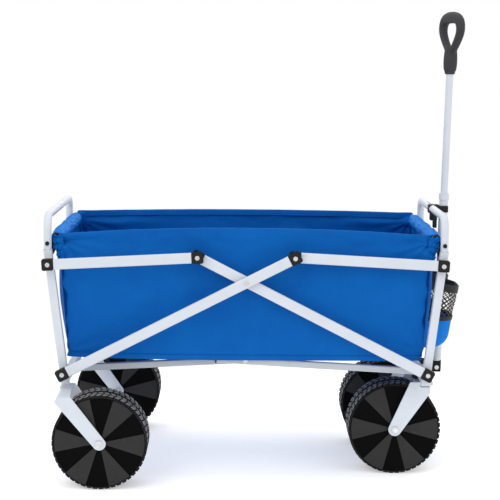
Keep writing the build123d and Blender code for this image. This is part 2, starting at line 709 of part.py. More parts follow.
def grip_body():
    """The loop grip before it is split into its two shells."""
    round_r = GRIP_CORNER
    side = GRIP_WIDTH / 2 - round_r
    high = GRIP_HEIGHT - round_r
    mid = high - 26
    outside = hull(
        Pos(0, NECK_R) * Circle(NECK_R),
        Pos(side, high) * Circle(round_r),
        Pos(-side, high) * Circle(round_r),
    )
    inner_r = round_r - STRAND / 1.4
    hole = hull(
        Pos(0, GRIP_HOLE_FOOT + 6) * Circle(6),
        Pos(side, high - 2) * Circle(inner_r),
        Pos(-side, high - 2) * Circle(inner_r),
        Pos(side - 4, mid) * Circle(inner_r),
        Pos(-side + 4, mid) * Circle(inner_r),
    )
    body = extrude(Plane.YZ * outside, amount=GRIP_THICK / 2, both=True)
    body = fillet(face_edges(body), GRIP_ROUND)
    body -= extrude(Plane.YZ * hole, amount=GRIP_THICK, both=True)
    reach = side + inner_r + 1
    around_hole = [
        edge
        for edge in face_edges(body)
        if abs(edge.center().Y) < reach and GRIP_HOLE_FOOT - 1 < edge.center().Z < high + inner_r
    ]
    body = fillet(around_hole, GRIP_HOLE_ROUND)
    bore = Cylinder(INNER_R + FIT, 2 * GRIP_SOCKET)
    return body - bore


def grip_shells():
    """The front and rear shells of the grip; the rear one has the button's pocket."""
    body = grip_body()
    half = Box(60, 300, 400, align=(Align.MIN, Align.CENTER, Align.CENTER))
    front = body & half
    rear = body & mirror(half, Plane.YZ)
    face = -GRIP_THICK / 2
    pocket = Pos(face, 0, BUTTON_UP) * Rot(0, 90, 0) * Cylinder(BUTTON_R + FIT, 18)
    return grip_place() * front, grip_place() * (rear - pocket)


def lock_button():
    """The push button that frees the inner tube."""
    length = BUTTON_LENGTH
    button = Cylinder(BUTTON_R, length)
    button = fillet(button.edges().sort_by(Axis.Z)[-1:], 1.2)
    centre_x = -GRIP_THICK / 2 - BUTTON_PROUD + length / 2
    return grip_place() * Pos(centre_x, 0, BUTTON_UP) * Rot(0, -90, 0) * button


def storage_clip():
    """The clip on the front carry bar that holds the pole upright."""
    bar_x = post_line_x(POST_TOP_Z)
    pole_x = HANDLE_X + (CARRY_BAR_Z - HANDLE_Z) * tan(radians(HANDLE_LEAN))
    reach = pole_x + CLIP_REACH - bar_x
    block = Pos(reach / 2, 0, 0) * Box(reach, 2 * CLIP_HALF_Y, CLIP_TALL)
    block = Pos(bar_x, 0, CARRY_BAR_Z) * block
    block = fillet(block.edges().filter_by(Axis.Y).sort_by(Axis.X)[-2:], 4)
    block -= rod_y(BAR_TUBE_R + FIT, -60, 60, bar_x, CARRY_BAR_Z)
    slot = Box(60, 2 * OUTER_R + 1.0, 100, align=(Align.MIN, Align.CENTER, Align.CENTER))
    block -= handle_place() * Pos(-OUTER_R - 0.5, 0, CARRY_BAR_Z - HANDLE_Z) * slot
    tongue_top = CARRY_BAR_Z - CLIP_TALL / 2
    tongue = Box(5, 2 * CLIP_HALF_Y, 34, align=(Align.CENTER, Align.CENTER, Align.MAX))
    return block + Pos(bar_x + BAR_TUBE_R + 1, 0, tongue_top + 4) * tongue


def nodes():
    """Every node of the cart, with X from mid-span."""
    long_a, blocks_a = long_bars(-SPAN_HALF, BAR_ANGLE, OUTER_BAR_Y)
    long_b, blocks_b = long_bars(SPAN_HALF, 180 - BAR_ANGLE, INNER_BAR_Y)
    front_top, front_top_blocks = top_bars(INNER_BAR_Y)
    rear_top, rear_top_blocks = top_bars(OUTER_BAR_Y)
    front_grip, rear_grip = grip_shells()
    made = {
        "rear_frame_tubes": to_rear(group(posts(POST_FOOT_Z), cross_tube_body([]))),
        "front_frame_tubes": group(posts(POST_FOOT_Z), cross_tube_body([-CASTER_Y, CASTER_Y])),
        "front_carry_bar": carry_bar([40, 62, 84]),
        "rear_push_bar": to_rear(carry_bar([])),
        "front_plugs": group(carry_plugs(), foot_caps()),
        "rear_bar_plugs": to_rear(carry_plugs()),
        "front_rim_tube": rim_tube(),
        "front_rim_sleeve": rim_sleeve(),
        "front_corner_brackets": corner_brackets(),
        "front_end_panel": end_panel(),
        "front_side_panels": side_panels(),
        "front_floor": floor_half(),
        "front_pivot_pins": frame_pins(INNER_BAR_Y, INNER_BAR_Y, FRONT_RAIL_Y),
        "rear_pivot_pins": to_rear(frame_pins(OUTER_BAR_Y, OUTER_BAR_Y, REAR_RAIL_Y)),
        "long_bars_a": long_a,
        "long_bar_a_blocks": blocks_a,
        "long_bar_a_rivets": group(cross_rivets(), knuckle_rivets()),
        "long_bars_b": long_b,
        "long_bar_b_blocks": blocks_b,
        "front_top_bars": front_top,
        "front_top_bar_blocks": front_top_blocks,
        "rear_top_bars": to_rear(rear_top),
        "rear_top_bar_blocks": to_rear(rear_top_blocks),
        "rear_top_bar_rivets": to_rear(knuckle_rivets()),
        "front_floor_rails": floor_rail(FRONT_RAIL_Y, True),
        "rear_floor_rails": to_rear(floor_rail(REAR_RAIL_Y, False)),
        "front_rail_caps": rail_caps(),
        "front_rail_rivets": rail_rivets(),
        "rear_forks": both_sides(rear_fork()),
        "rear_axles": both_sides(axle_bolt(-REAR_AXLE_X, REAR_WHEEL_Y)),
        "caster_sockets": caster_sockets(),
        "cup_pockets": cup_pockets(),
        "handle_bracket": handle_bracket(),
        "handle_pin": handle_pin(),
        "handle_foot": handle_foot(),
        "handle_outer_tube": outer_pole(),
        "handle_collar": pole_collar(),
        "handle_inner_tube": inner_pole(),
        "grip_front_shell": front_grip,
        "grip_rear_shell": rear_grip,
        "lock_button": lock_button(),
        "storage_clip": storage_clip(),
    }
    for name in ("rim_tube", "rim_sleeve", "corner_brackets", "end_panel", "side_panels", "floor"):
        made["rear_" + name] = to_rear(made["front_" + name])
    for side, sign in (("right", -1), ("left", 1)):
        fork, bolt, nut = caster_fork(), axle_bolt(CASTER_AXLE_X, CASTER_Y), stem_nut()
        hardware = group(bolt, nut)
        if sign < 0:
            fork, hardware = mirror(fork, Plane.XZ), mirror(hardware, Plane.XZ)
        made[f"caster_{side}_fork"] = fork
        made[f"caster_{side}_hardware"] = hardware
        for end, x, y in (("rear", -REAR_AXLE_X, REAR_WHEEL_Y), ("front", CASTER_AXLE_X, CASTER_Y)):
            made[f"{end}_{side}_wheel"] = wheel_halves(x, sign * y)
            made[f"{end}_{side}_tyre"] = tyre(x, sign * y)
    return made


def middle_shift(made):
    """How far the cart moves along X to stand centred on the origin."""
    boxes = [shape.bounding_box() for shape in made.values()]
    return -(min(box.min.X for box in boxes) + max(box.max.X for box in boxes)) / 2


def main():
    made = nodes()
    shift = middle_shift(made)
    os.makedirs("parts", exist_ok=True)
    for name, shape in made.items():
        placed = Compound([Pos(shift, 0, 0) * solid for solid in shape.solids()])
        export_step(placed, f"parts/{name}.step")
    print(len(made), "nodes, shift", round(shift, 4))


if __name__ == "__main__":
    main()
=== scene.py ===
"""Looks of a folding beach cart: cloth tub, powder coated frame, moulded wheels and a soft studio."""

import math

import bmesh
import bpy
from mathutils import Matrix, Vector, noise


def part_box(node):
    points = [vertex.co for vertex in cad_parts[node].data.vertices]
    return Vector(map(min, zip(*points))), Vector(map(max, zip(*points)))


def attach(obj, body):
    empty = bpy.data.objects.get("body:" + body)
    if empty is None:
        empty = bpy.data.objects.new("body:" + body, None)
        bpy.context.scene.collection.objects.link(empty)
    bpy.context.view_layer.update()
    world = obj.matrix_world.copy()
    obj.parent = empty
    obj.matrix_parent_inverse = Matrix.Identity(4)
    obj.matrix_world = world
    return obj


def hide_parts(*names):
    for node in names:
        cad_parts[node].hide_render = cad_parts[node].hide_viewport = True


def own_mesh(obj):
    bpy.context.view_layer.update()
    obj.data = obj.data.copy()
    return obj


bl_info = {
    "name": "Beach cart looks",
    "version": (1, 0, 0),
    "blender": (4, 5, 0),
    "location": "View3D > Sidebar > Cart",
    "description": "Cloth, tyres, wheels, pockets and finishes of a folding beach cart",
    "category": "Object",
}

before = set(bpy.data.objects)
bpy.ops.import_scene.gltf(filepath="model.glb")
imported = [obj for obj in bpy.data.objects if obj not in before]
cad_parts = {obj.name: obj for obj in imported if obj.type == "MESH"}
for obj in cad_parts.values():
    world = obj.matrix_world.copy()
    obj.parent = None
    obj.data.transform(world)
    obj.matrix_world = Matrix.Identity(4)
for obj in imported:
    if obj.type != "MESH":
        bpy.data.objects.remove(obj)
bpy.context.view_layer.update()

# the tub's own measures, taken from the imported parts
MID_X = (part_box("rear_side_panels")[1].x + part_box("front_side_panels")[0].x) / 2
WALL_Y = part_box("rear_side_panels")[1].y - 0.0015
HEM_MID_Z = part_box("rear_side_panels")[0].z
RIM_MID_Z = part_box("rear_side_panels")[1].z
FLOOR_LOW_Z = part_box("rear_floor")[0].z
TUBE_LOW, TUBE_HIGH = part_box("rear_rim_tube")
TUBE_Z = (TUBE_LOW.z + TUBE_HIGH.z) / 2
TUBE_R = (TUBE_HIGH.z - TUBE_LOW.z) / 2
TUBE_X = MID_X - (TUBE_LOW.x + TUBE_HIGH.x) / 2
END_LOW_X = MID_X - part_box("rear_floor")[0].x
POST_LEAN = math.radians(6.9)
END_LEAN = math.radians(4.0)
POLE_LEAN = math.radians(1.3)
HEM_END_Z = HEM_MID_Z + 0.013
RIM_END_Z = RIM_MID_Z - 0.017
LENGTH_Z = 0.45  # height at which the tub's length is taken
RIM_TURN = 0.075  # share of the wall's height that is turned in at the rim
PIVOT_X, PIVOT_Z = 0.440, 0.266
CREASE_ANGLE = 60
ENDS = {"rear": -1, "front": 1}
SIDES = {"right": -1, "left": 1}
CORNERS = [(*end, *side) for end in ENDS.items() for side in SIDES.items()]
FULL_TURN = 2 * math.pi


# ---------------------------------------------------------------- user's sizes and colours


def length(name, what, default):
    return bpy.props.FloatProperty(name=name, description=what, default=default, unit="LENGTH", precision=4)


def paint(name, what, default):
    return bpy.props.FloatVectorProperty(
        name=name, description=what, default=default, size=4, min=0.0, max=1.0, subtype="COLOR"
    )


class CartSizes(bpy.types.PropertyGroup):
    cloth: length("Cloth", "Thickness of the tub's coated cloth", 0.0014)
    thread: length("Thread", "Distance between two threads of the cloth", 0.0012)
    belly: length("Belly", "How far the long walls swell outwards", 0.009)
    crease: length("Crease", "Height of the folds at the gathered corners", 0.0074)
    hem: length("Hem", "Width of the sewn hems", 0.016)
    stitch: length("Stitch", "Distance from one stitch to the next", 0.0062)
    sleeve: length("Sleeve", "Radius of the rolled sleeves at both ends", 0.0158)
    tread: length("Tread", "Height of the tyres' blocks", 0.0034)
    sector: length("Sector", "How far the wheels' raised sectors stand out", 0.0022)
    net: length("Net", "Distance between two cords of the pockets' net", 0.0138)


class CartColours(bpy.types.PropertyGroup):
    cloth: paint("Cloth", "Deep blue of the tub", (0.0012, 0.094, 0.385, 1))
    cloth_lit: paint("Worn cloth", "Where the blue cloth is paler", (0.0024, 0.124, 0.460, 1))
    sleeve: paint("Sleeve", "Blue of the rolled sleeves", (0.008, 0.165, 0.560, 1))
    powder: paint("Powder coat", "White of the frame", (0.605, 0.645, 0.705, 1))
    # the rails wear the frame's white powder coat; this darker, cooler colour is painted shade under the tub
    rail: paint("Rails", "Cooler white of the rails under the tub", (0.450, 0.485, 0.530, 1))
    zinc: paint("Zinc", "Rivets, pins and bolts", (0.720, 0.725, 0.735, 1))
    plastic: paint("Black plastic", "Moulded end fittings", (0.0085, 0.0080, 0.0080, 1))
    grip: paint("Grip", "Loop grip of the handle", (0.0060, 0.0058, 0.0060, 1))
    wheel: paint("Wheel", "Raised sectors of the wheels", (0.0185, 0.0175, 0.0185, 1))
    wheel_dark: paint("Wheel, sunk", "Sunk sectors of the wheels", (0.0016, 0.0015, 0.0016, 1))
    # the tread's block tops are coloured grey in patches, its sides and grooves near black
    tyre: paint("Tyre", "Dusty tops of the tread", (0.210, 0.206, 0.202, 1))
    tyre_dark: paint("Tyre, grooves", "Sides and grooves of the tread", (0.010, 0.0095, 0.0095, 1))
    stage: paint("Floor", "Studio floor", (0.955, 0.957, 0.960, 1))


# ---------------------------------------------------------------- materials


class Term:
    """A number that varies over a surface, so that shader maths reads as a plain expression."""

    def __init__(self, finish, socket):
        self.finish, self.socket = finish, socket

    def maths(self, operation, first, second=0.0):
        return self.finish.node("ShaderNodeMath", {"operation": operation}, {0: first, 1: second})

    def __add__(self, other):
        return self.maths("ADD", self, other)

    def __sub__(self, other):
        return self.maths("SUBTRACT", self, other)

    def __rsub__(self, other):
        return self.maths("SUBTRACT", other, self)

    def __mul__(self, other):
        return self.maths("MULTIPLY", self, other)

    def __truediv__(self, other):
        return self.maths("DIVIDE", self, other)

    def __lt__(self, other):
        return self.maths("LESS_THAN", self, other)

    def __abs__(self):
        return self.maths("ABSOLUTE", self)

    def wave(self, step):
        """A sine from 0 to 1 that comes back every step."""
        return self.maths("SINE", self * (FULL_TURN / step)) * 0.5 + 0.5

    def part(self, step):
        """How far along each step a point is, from 0 to 1."""
        return self.maths("FRACT", self / step)

    __radd__, __rmul__ = __add__, __mul__


class Finish:
    """One material: its nodes and the shader that they feed."""

    def __init__(self, name, constants):
        self.material = bpy.data.materials.new(name)
        self.material.use_nodes = True
        self.tree = self.material.node_tree
        self.shader = self.tree.nodes["Principled BSDF"]
        for socket, value in constants.items():
            self.shader.inputs[socket].default_value = value

    def node(self, kind, settings, sockets, out=0):
        made = self.tree.nodes.new(kind)
        for key, value in settings.items():
            setattr(made, key, value)
        for key, value in sockets.items():
            if isinstance(value, Term):
                self.tree.links.new(value.socket, made.inputs[key])
            else:
                made.inputs[key].default_value = value
        return Term(self, made.outputs[out])

    def place(self, stretch=(1, 1, 1)):
        here = self.node("ShaderNodeTexCoord", {}, {}, "Object")
        return self.node("ShaderNodeMapping", {}, {"Vector": here, "Scale": stretch})

    def noise(self, scale, detail=2.0, rough=0.5, stretch=(1, 1, 1)):
        sockets = {"Vector": self.place(stretch), "Scale": scale, "Detail": detail, "Roughness": rough}
        return self.node("ShaderNodeTexNoise", {}, sockets)

    def along(self):
        """The piece's own two directions, in metres."""
        flat = self.node("ShaderNodeUVMap", {"uv_map": "UVMap"}, {})
        split = self.node("ShaderNodeSeparateXYZ", {}, {0: flat})
        return split, Term(self, split.socket.node.outputs[1])

    def attribute(self, name):
        return self.node("ShaderNodeAttribute", {"attribute_name": name}, {}, "Fac")

    def ramp(self, value, low, high, to_low=0.0, to_high=1.0):
        sockets = {"Value": value, "From Min": low, "From Max": high, "To Min": to_low, "To Max": to_high}
        return self.node("ShaderNodeMapRange", {"clamp": True}, sockets)

    def mix(self, share, first, second):
        return self.node("ShaderNodeMix", {"data_type": "RGBA"}, {0: share, 6: first, 7: second}, 2)

    def bump(self, height, distance, strength=1.0, under=None):
        sockets = {"Height": height, "Distance": distance, "Strength": strength}
        if under is not None:
            sockets["Normal"] = under
        return self.node("ShaderNodeBump", {}, sockets)

    def soft_edges(self, radius):
        return self.node("ShaderNodeBevel", {"samples": 6}, {"Radius": radius})

    def feed(self, **inputs):
        for key, value in inputs.items():
            self.tree.links.new(value.socket, self.shader.inputs[key.replace("_", " ")])
        return self.material


def shade(colour, by):
    return (colour[0] * by, colour[1] * by, colour[2] * by, 1)


def powder_coat(name, colour):
    """Baked powder: a fine orange peel, faint smudges and a few rubbed spots."""
    f = Finish(name, {"Specular IOR Level": 0.45})
    peel = f.noise(650, 1.5)
    smudge = f.noise(14, 4, 0.6)
    rubs = f.ramp(f.noise(120, 5, 0.7, (1, 1, 2.5)), 0.63, 0.74)
    tone = f.mix(f.ramp(smudge, 0.35, 0.75), colour, shade(colour, 0.93))
    tone = f.mix(rubs * 0.35, tone, shade(colour, 0.72))
    normal = f.bump(peel, 0.0004, 0.25, f.soft_edges(0.0009))
    return f.feed(Base_Color=tone, Roughness=0.30 + 0.16 * smudge + 0.12 * rubs, Normal=normal)


def plated(name, colour):
    """Zinc plate: bright, with dull clouds and fine turning marks."""
    f = Finish(name, {"Metallic": 1.0})
    cloud = f.noise(90, 4, 0.65)
    marks = f.noise(1400, 1, 0.5, (1, 0.1, 1))
    tone = f.mix(f.ramp(cloud, 0.35, 0.7), colour, shade(colour, 0.68))
    normal = f.bump(marks, 0.0002, 0.3, f.soft_edges(0.0006))
    return f.feed(Base_Color=tone, Roughness=0.20 + 0.22 * cloud, Normal=normal)


def moulded(name, colour, grain, depth, rough, shine=0.22):
    """Moulded plastic: a pebbled grain, scuffed paler where it is rubbed."""
    f = Finish(name, {"Specular IOR Level": shine})
    pebble = f.noise(grain, 2, 0.6)
    scuff = f.ramp(f.noise(70, 6, 0.75), 0.55, 0.78)
    dust = f.ramp(f.noise(22, 3), 0.4, 0.7)
    tone = f.mix(scuff * 0.55, colour, shade(colour, 2.6))
    tone = f.mix(dust * 0.25, tone, shade(colour, 1.8))
    normal = f.bump(pebble, depth, 0.55, f.soft_edges(0.0008))
    return f.feed(Base_Color=tone, Roughness=rough + 0.14 * scuff + 0.08 * dust, Normal=normal)


def tread_rubber(name, colour, dark):
    """Tread tops: foam rubber, grey in patches over near black, with paler specks and fine pores."""
    f = Finish(name, {"Specular IOR Level": 0.35})
    patch = f.ramp(f.noise(46, 4, 0.65), 0.24, 0.58)
    pores = f.noise(900, 3, 0.7)
    grit = f.ramp(f.noise(260, 4, 0.7), 0.5, 0.7)
    tone = f.mix(patch, dark, colour)
    tone = f.mix(grit * 0.4, tone, shade(colour, 1.7))
    return f.feed(Base_Color=tone, Roughness=0.62 + 0.2 * patch, Normal=f.bump(pores, 0.0004, 0.5))


def woven(name, colour, lit, sizes, sewn=True):
    """Coated plain weave: threads both ways, uneven dye, softly creased, with its rows of stitches."""
    f = Finish(name, {"Specular IOR Level": 0.06})
    across, up = f.along()
    weave = across.wave(sizes.thread) * up.wave(sizes.thread)
    slub = f.noise(420, 2, 0.5, (1, 1, 0.12))
    cloud = f.noise(7, 3, 0.55)
    crumple = f.noise(46, 3, 0.55)
    tone = f.mix(f.ramp(cloud, 0.3, 0.75), colour, lit)
    tone = f.mix(weave * 0.35, tone, shade(colour, 0.72))
    tone = f.mix(f.ramp(slub, 0.55, 0.8) * 0.22, tone, shade(lit, 1.25))
    height = weave * 0.5 + crumple * 0.9
    if sewn:
        gap = f.attribute("edge_gap")
        off_row = abs(gap - sizes.hem * 0.82)
        thread = f.ramp(off_row, 0.0014, 0.0009) * (across.part(sizes.stitch) < 0.55)
        dip_and_shade = f.ramp(off_row, 0.0030, 0.0)
        tone = f.mix(thread * 0.62, tone, shade(colour, 0.30))
        # painted shade: the cloth darkens along the sunk groove of each stitch row, which the bump also lowers
        tone = f.mix(dip_and_shade * (1 - thread) * 0.25, tone, shade(colour, 0.7))
        height = height + thread * 1.6 - dip_and_shade * 1.2
    return f.feed(Base_Color=tone, Roughness=0.52 + 0.12 * cloud, Normal=f.bump(height, 0.0007, 0.6))


def netting(name, colour, sizes):
    """Knotted net: cords on both diagonals, open between them."""
    f = Finish(name, {"Roughness": 0.6})
    across, up = f.along()
    cord = 0.385  # where a cord starts, from the middle of a mesh
    one = abs((across + up).part(sizes.net) - 0.5)
    two = abs((across - up).part(sizes.net) - 0.5)
    hole = (one < cord) * (two < cord)
    round_cord = f.ramp(one, cord, 0.5) + f.ramp(two, cord, 0.5)
    tone = f.mix(f.noise(300, 2), colour, shade(colour, 3.0))
    return f.feed(Base_Color=tone, Alpha=1 - hole, Normal=f.bump(round_cord, 0.0006, 0.8))


def webbing(name, colour):
    """Black binding tape: ribs across it and a duller, dusted nap."""
    f = Finish(name, {"Sheen Weight": 0.15})
    across, up = f.along()
    rib = across.wave(0.0018) * 0.6 + up.wave(0.0012) * 0.4
    dust = f.ramp(f.noise(60, 4), 0.4, 0.75)
    tone = f.mix(dust * 0.5, colour, shade(colour, 2.4))
    return f.feed(Base_Color=tone, Roughness=0.7 + 0.12 * dust, Normal=f.bump(rib, 0.0005, 0.7))


def floor_paint(name, colour):
    """Matt white floor that fades into the pale room a step away from the cart."""
    glow = {"Emission Color": (1, 1, 1, 1), "Emission Strength": 0.30}
    f = Finish(name, {"Specular IOR Level": 0.0, "Roughness": 0.9, **glow})
    tone = f.mix(f.noise(0.8, 2), colour, shade(colour, 0.99))
    away = f.node("ShaderNodeVectorMath", {"operation": "LENGTH"}, {0: f.place()}, 1)
    return f.feed(Base_Color=tone, Alpha=1 - f.ramp(away, 0.7, 1.7))


def finish_named(name):
    """The material of that name, made once."""
    made = bpy.data.materials.get(name)
    if made is not None:
        return made
    sizes, colours = bpy.context.scene.cart_sizes, bpy.context.scene.cart_colours
    cloth, lit = tuple(colours.cloth), tuple(colours.cloth_lit)
    makers = {
        "frame_powder": (powder_coat, colours.powder),
        # a darker copy of the powder coat: painted shade on the rails under the tub
        "rail_powder": (powder_coat, colours.rail),
        "zinc_plate": (plated, colours.zinc),
        "fitting_plastic": (moulded, colours.plastic, 1500, 0.0004, 0.40),
        "grip_plastic": (moulded, colours.grip, 2200, 0.0003, 0.30, 0.5),
        "sector_plastic": (moulded, colours.wheel, 1100, 0.0004, 0.50),
        "sunk_plastic": (moulded, colours.wheel_dark, 1100, 0.0003, 0.60, 0.05),
        "tread_top": (tread_rubber, colours.tyre, tuple(colours.tyre_dark)),
        "tread_side": (moulded, colours.tyre_dark, 700, 0.0005, 0.62),
        "tub_cloth": (woven, cloth, lit, sizes),
        "sleeve_cloth": (woven, colours.sleeve, shade(colours.sleeve, 1.35), sizes),
        "pad_cloth": (woven, cloth, lit, sizes, False),
        "pocket_net": (netting, colours.plastic, sizes),
        "black_webbing": (webbing, colours.plastic),
        "studio_floor": (floor_paint, colours.stage),
    }
    make, colour, *rest = makers[name]
    return make(name, tuple(colour), *rest)


# ---------------------------------------------------------------- modelling helpers


def alone(piece):
    """Selects one object and makes it the active one."""
    if bpy.context.object and bpy.context.object.mode != "OBJECT":
        bpy.ops.object.mode_set(mode="OBJECT")
    bpy.ops.object.select_all(action="DESELECT")
    piece.select_set(True)
    bpy.context.view_layer.objects.active = piece
    return piece


def started(primitive, name, **settings):
    """A primitive, alone, selected and named."""
    bpy.ops.object.select_all(action="DESELECT")
    primitive(**settings)
    piece = bpy.context.object
    piece.name = piece.data.name = name
    return piece


def pick(piece, test):
    """In edit mode, selects the faces whose middle and normal pass the test."""
    mesh = bmesh.from_edit_mesh(piece.data)
    for face in mesh.faces:
        face.select_set(False)
    for face in mesh.faces:
        if test(face.calc_center_median(), face.normal):
            face.select_set(True)
    bmesh.update_edit_mesh(piece.data)


def editing(piece):
    alone(piece)
    bpy.ops.object.mode_set(mode="EDIT")
    bpy.ops.mesh.select_mode(type="FACE")


def edited():
    bpy.ops.object.mode_set(mode="OBJECT")


def settled(piece):
    """Puts the object's place, turn and scale into its mesh."""
    alone(piece)
    bpy.ops.object.transform_apply(location=True, rotation=True, scale=True)
    return piece


def modified(piece, kind, **settings):
    alone(piece)
    made = piece.modifiers.new(kind.title(), kind)
    for key, value in settings.items():
        setattr(made, key, value)
    bpy.ops.object.modifier_apply(modifier=made.name)


def smooth(piece, degrees=38):
    alone(piece)
    bpy.ops.object.shade_smooth_by_angle(angle=math.radians(degrees))


def outwards(piece, merge=0.00005):
    editing(piece)
    bpy.ops.mesh.select_all(action="SELECT")
    bpy.ops.mesh.remove_doubles(threshold=merge)
    bpy.ops.mesh.normals_make_consistent(inside=False)
    edited()


def dressed(piece, *names):
    piece.data.materials.clear()
    for name in names:
        piece.data.materials.append(finish_named(name))


def linked(name, data):
    """An object of that data, in the scene."""
    piece = bpy.data.objects.new(name, data)
    bpy.context.scene.collection.objects.link(piece)
    return piece


def copied(piece, name, matrix):
    """A copy with its own mesh, moved within it."""
    twin = linked(name, piece.data.copy())
    twin.data.name = name
    twin.data.transform(matrix)
    return twin


def fitted(piece, body, slot, *nodes):
    """The piece moves with the body and stands for the CAD's nodes; slot is not used."""
    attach(piece, body)
    for node in nodes:
        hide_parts(node)


def sewn(piece, finish, thickness, offset=0.0, merge=0.00005):
    """Turns a flat grid into cloth of that thickness and finish."""
    outwards(piece, merge)
    modified(piece, "SOLIDIFY", thickness=thickness, offset=offset)
    smooth(piece, CREASE_ANGLE)
    dressed(piece, finish)


def plan_uv(mesh):
    """UVs in metres, as seen from above."""
    layer = mesh.uv_layers.get("UVMap") or mesh.uv_layers.new(name="UVMap")
    for loop in mesh.loops:
        layer.data[loop.index].uv = mesh.vertices[loop.vertex_index].co.xy


def cloth_grid(name, columns, rows, point, measure):
    """A sheet: point(u, v) says where it lies, and measure(u, v) gives its flat place and edge gap."""
    piece = started(
        bpy.ops.mesh.primitive_grid_add, name, x_subdivisions=columns, y_subdivisions=rows, size=1
    )
    mesh = piece.data
    flat = [(v.co.x + 0.5, v.co.y + 0.5) for v in mesh.vertices]
    gaps = mesh.attributes.new("edge_gap", "FLOAT", "POINT")
    sizes = [measure(u, v) for u, v in flat]
    gaps.data.foreach_set("value", [s[2] for s in sizes])
    layer = mesh.uv_layers["UVMap"].data
    for loop in mesh.loops:
        layer[loop.index].uv = sizes[loop.vertex_index][:2]
    for vertex, (u, v) in zip(mesh.vertices, flat):
        vertex.co = point(u, v)
    mesh.update()
    return piece


def ease(t):
    t = min(1.0, max(0.0, t))
    return t * t * (3 - 2 * t)


def bell(off, wide):
    """Falls from 1 at no distance to nearly 0 at twice the width."""
    return math.exp(-((off / wide) ** 2))


def ridge(x, z, start, end, wide):
    """Height, 0 to 1, of a soft fold that runs from start to end and fades at its far end."""
    dx, dz = end[0] - start[0], end[1] - start[1]
    run = dx * dx + dz * dz
    t = min(1.0, max(0.0, ((x - start[0]) * dx + (z - start[1]) * dz) / run))
    off = math.hypot(x - start[0] - t * dx, z - start[1] - t * dz)
    return bell(off, wide * (0.55 + 0.9 * t)) * (1 - t) ** 0.8


def fan(x, z, start, rays, lean=0):
    """Soft folds that spread from one point; each ray is (degrees, length, width, height)."""
    out = 0.0
    for turn, run, wide, lift in rays:
        angle = math.radians(turn + lean)
        stop = (start[0] - run * math.cos(angle), start[1] + run * math.sin(angle))
        out += lift * ridge(x, z, start, stop, wide)
    return out


# ---------------------------------------------------------------- the tub's walls


def half_length(z):
    """Half the tub's length at that height, along the leaning ends."""
    return END_LOW_X + (z - FLOOR_LOW_Z) * math.tan(END_LEAN)


def wall_folds(x, z, side):
    """How far the long wall's cloth stands out or in at x, from the mid-span, and z."""
    end = 1 if x > 0 else -1
    far = abs(x)
    top, low = RIM_END_Z, HEM_END_Z
    corner = half_length(top)
    wild = 1.0 if side < 0 else 0.8
    from_rim = (
        (-3, 0.150, 0.0075, -0.9), (-13, 0.120, 0.006, 0.8), (-24, 0.105, 0.006, -0.9),
        (-37, 0.085, 0.0055, 0.9), (-55, 0.070, 0.0055, -0.7), (-72, 0.075, 0.006, 0.7),
    )
    from_hem = (
        (8, 0.13, 0.008, 0.55), (22, 0.10, 0.007, -0.6), (44, 0.085, 0.007, 0.6), (70, 0.07, 0.007, -0.5),
    )
    out = fan(far, z, (corner - 0.004, top - 0.012), from_rim, 3 * end * side)
    out += fan(far, z, (half_length(low) - 0.004, low + 0.010), from_hem)
    # the long slack fold under the rim, strongest on the wall behind
    slack = 0.9 if side > 0 else 0.45
    line = RIM_MID_Z - 0.044 + 0.014 * (far / corner) + 0.004 * math.sin(x * 23 + side)
    near_end = ease((far - 0.16) / 0.2)
    out -= 1.5 * slack * bell(z - line, 0.011) * near_end
    out += 1.1 * slack * bell(z - line + 0.028, 0.014) * near_end
    # pressed in behind the knuckles, and drawn from the middle of the hem
    out -= 0.9 * bell(math.hypot(far - 0.125, z - 0.552), 0.034)
    out += 0.6 * bell(math.hypot(far - 0.118, z - 0.600), 0.030)
    out += 0.45 * ridge(x, z, (0.015, 0.315), (0.20, 0.385), 0.016)
    out -= 0.5 * ridge(x, z, (0.005, 0.345), (0.16, 0.435), 0.020)
    out -= 0.4 * ridge(x, z, (-0.030, 0.318), (-0.22, 0.352), 0.018)
    out += 0.35 * ridge(x, z, (0.20, 0.47), (0.38, 0.40), 0.026)
    out -= 0.35 * ridge(x, z, (-0.22, 0.42), (-0.40, 0.36), 0.024)
    slow = noise.noise(Vector((x * 7.0, side * 3.7, z * 11.0)))
    fine = noise.noise(Vector((x * 26.0, side * 1.9 + 5, z * 48.0)))
    near_rim = ease((z - 0.52) / 0.09)
    return wild * out + 0.55 * slow + (0.16 + 0.26 * near_rim) * fine


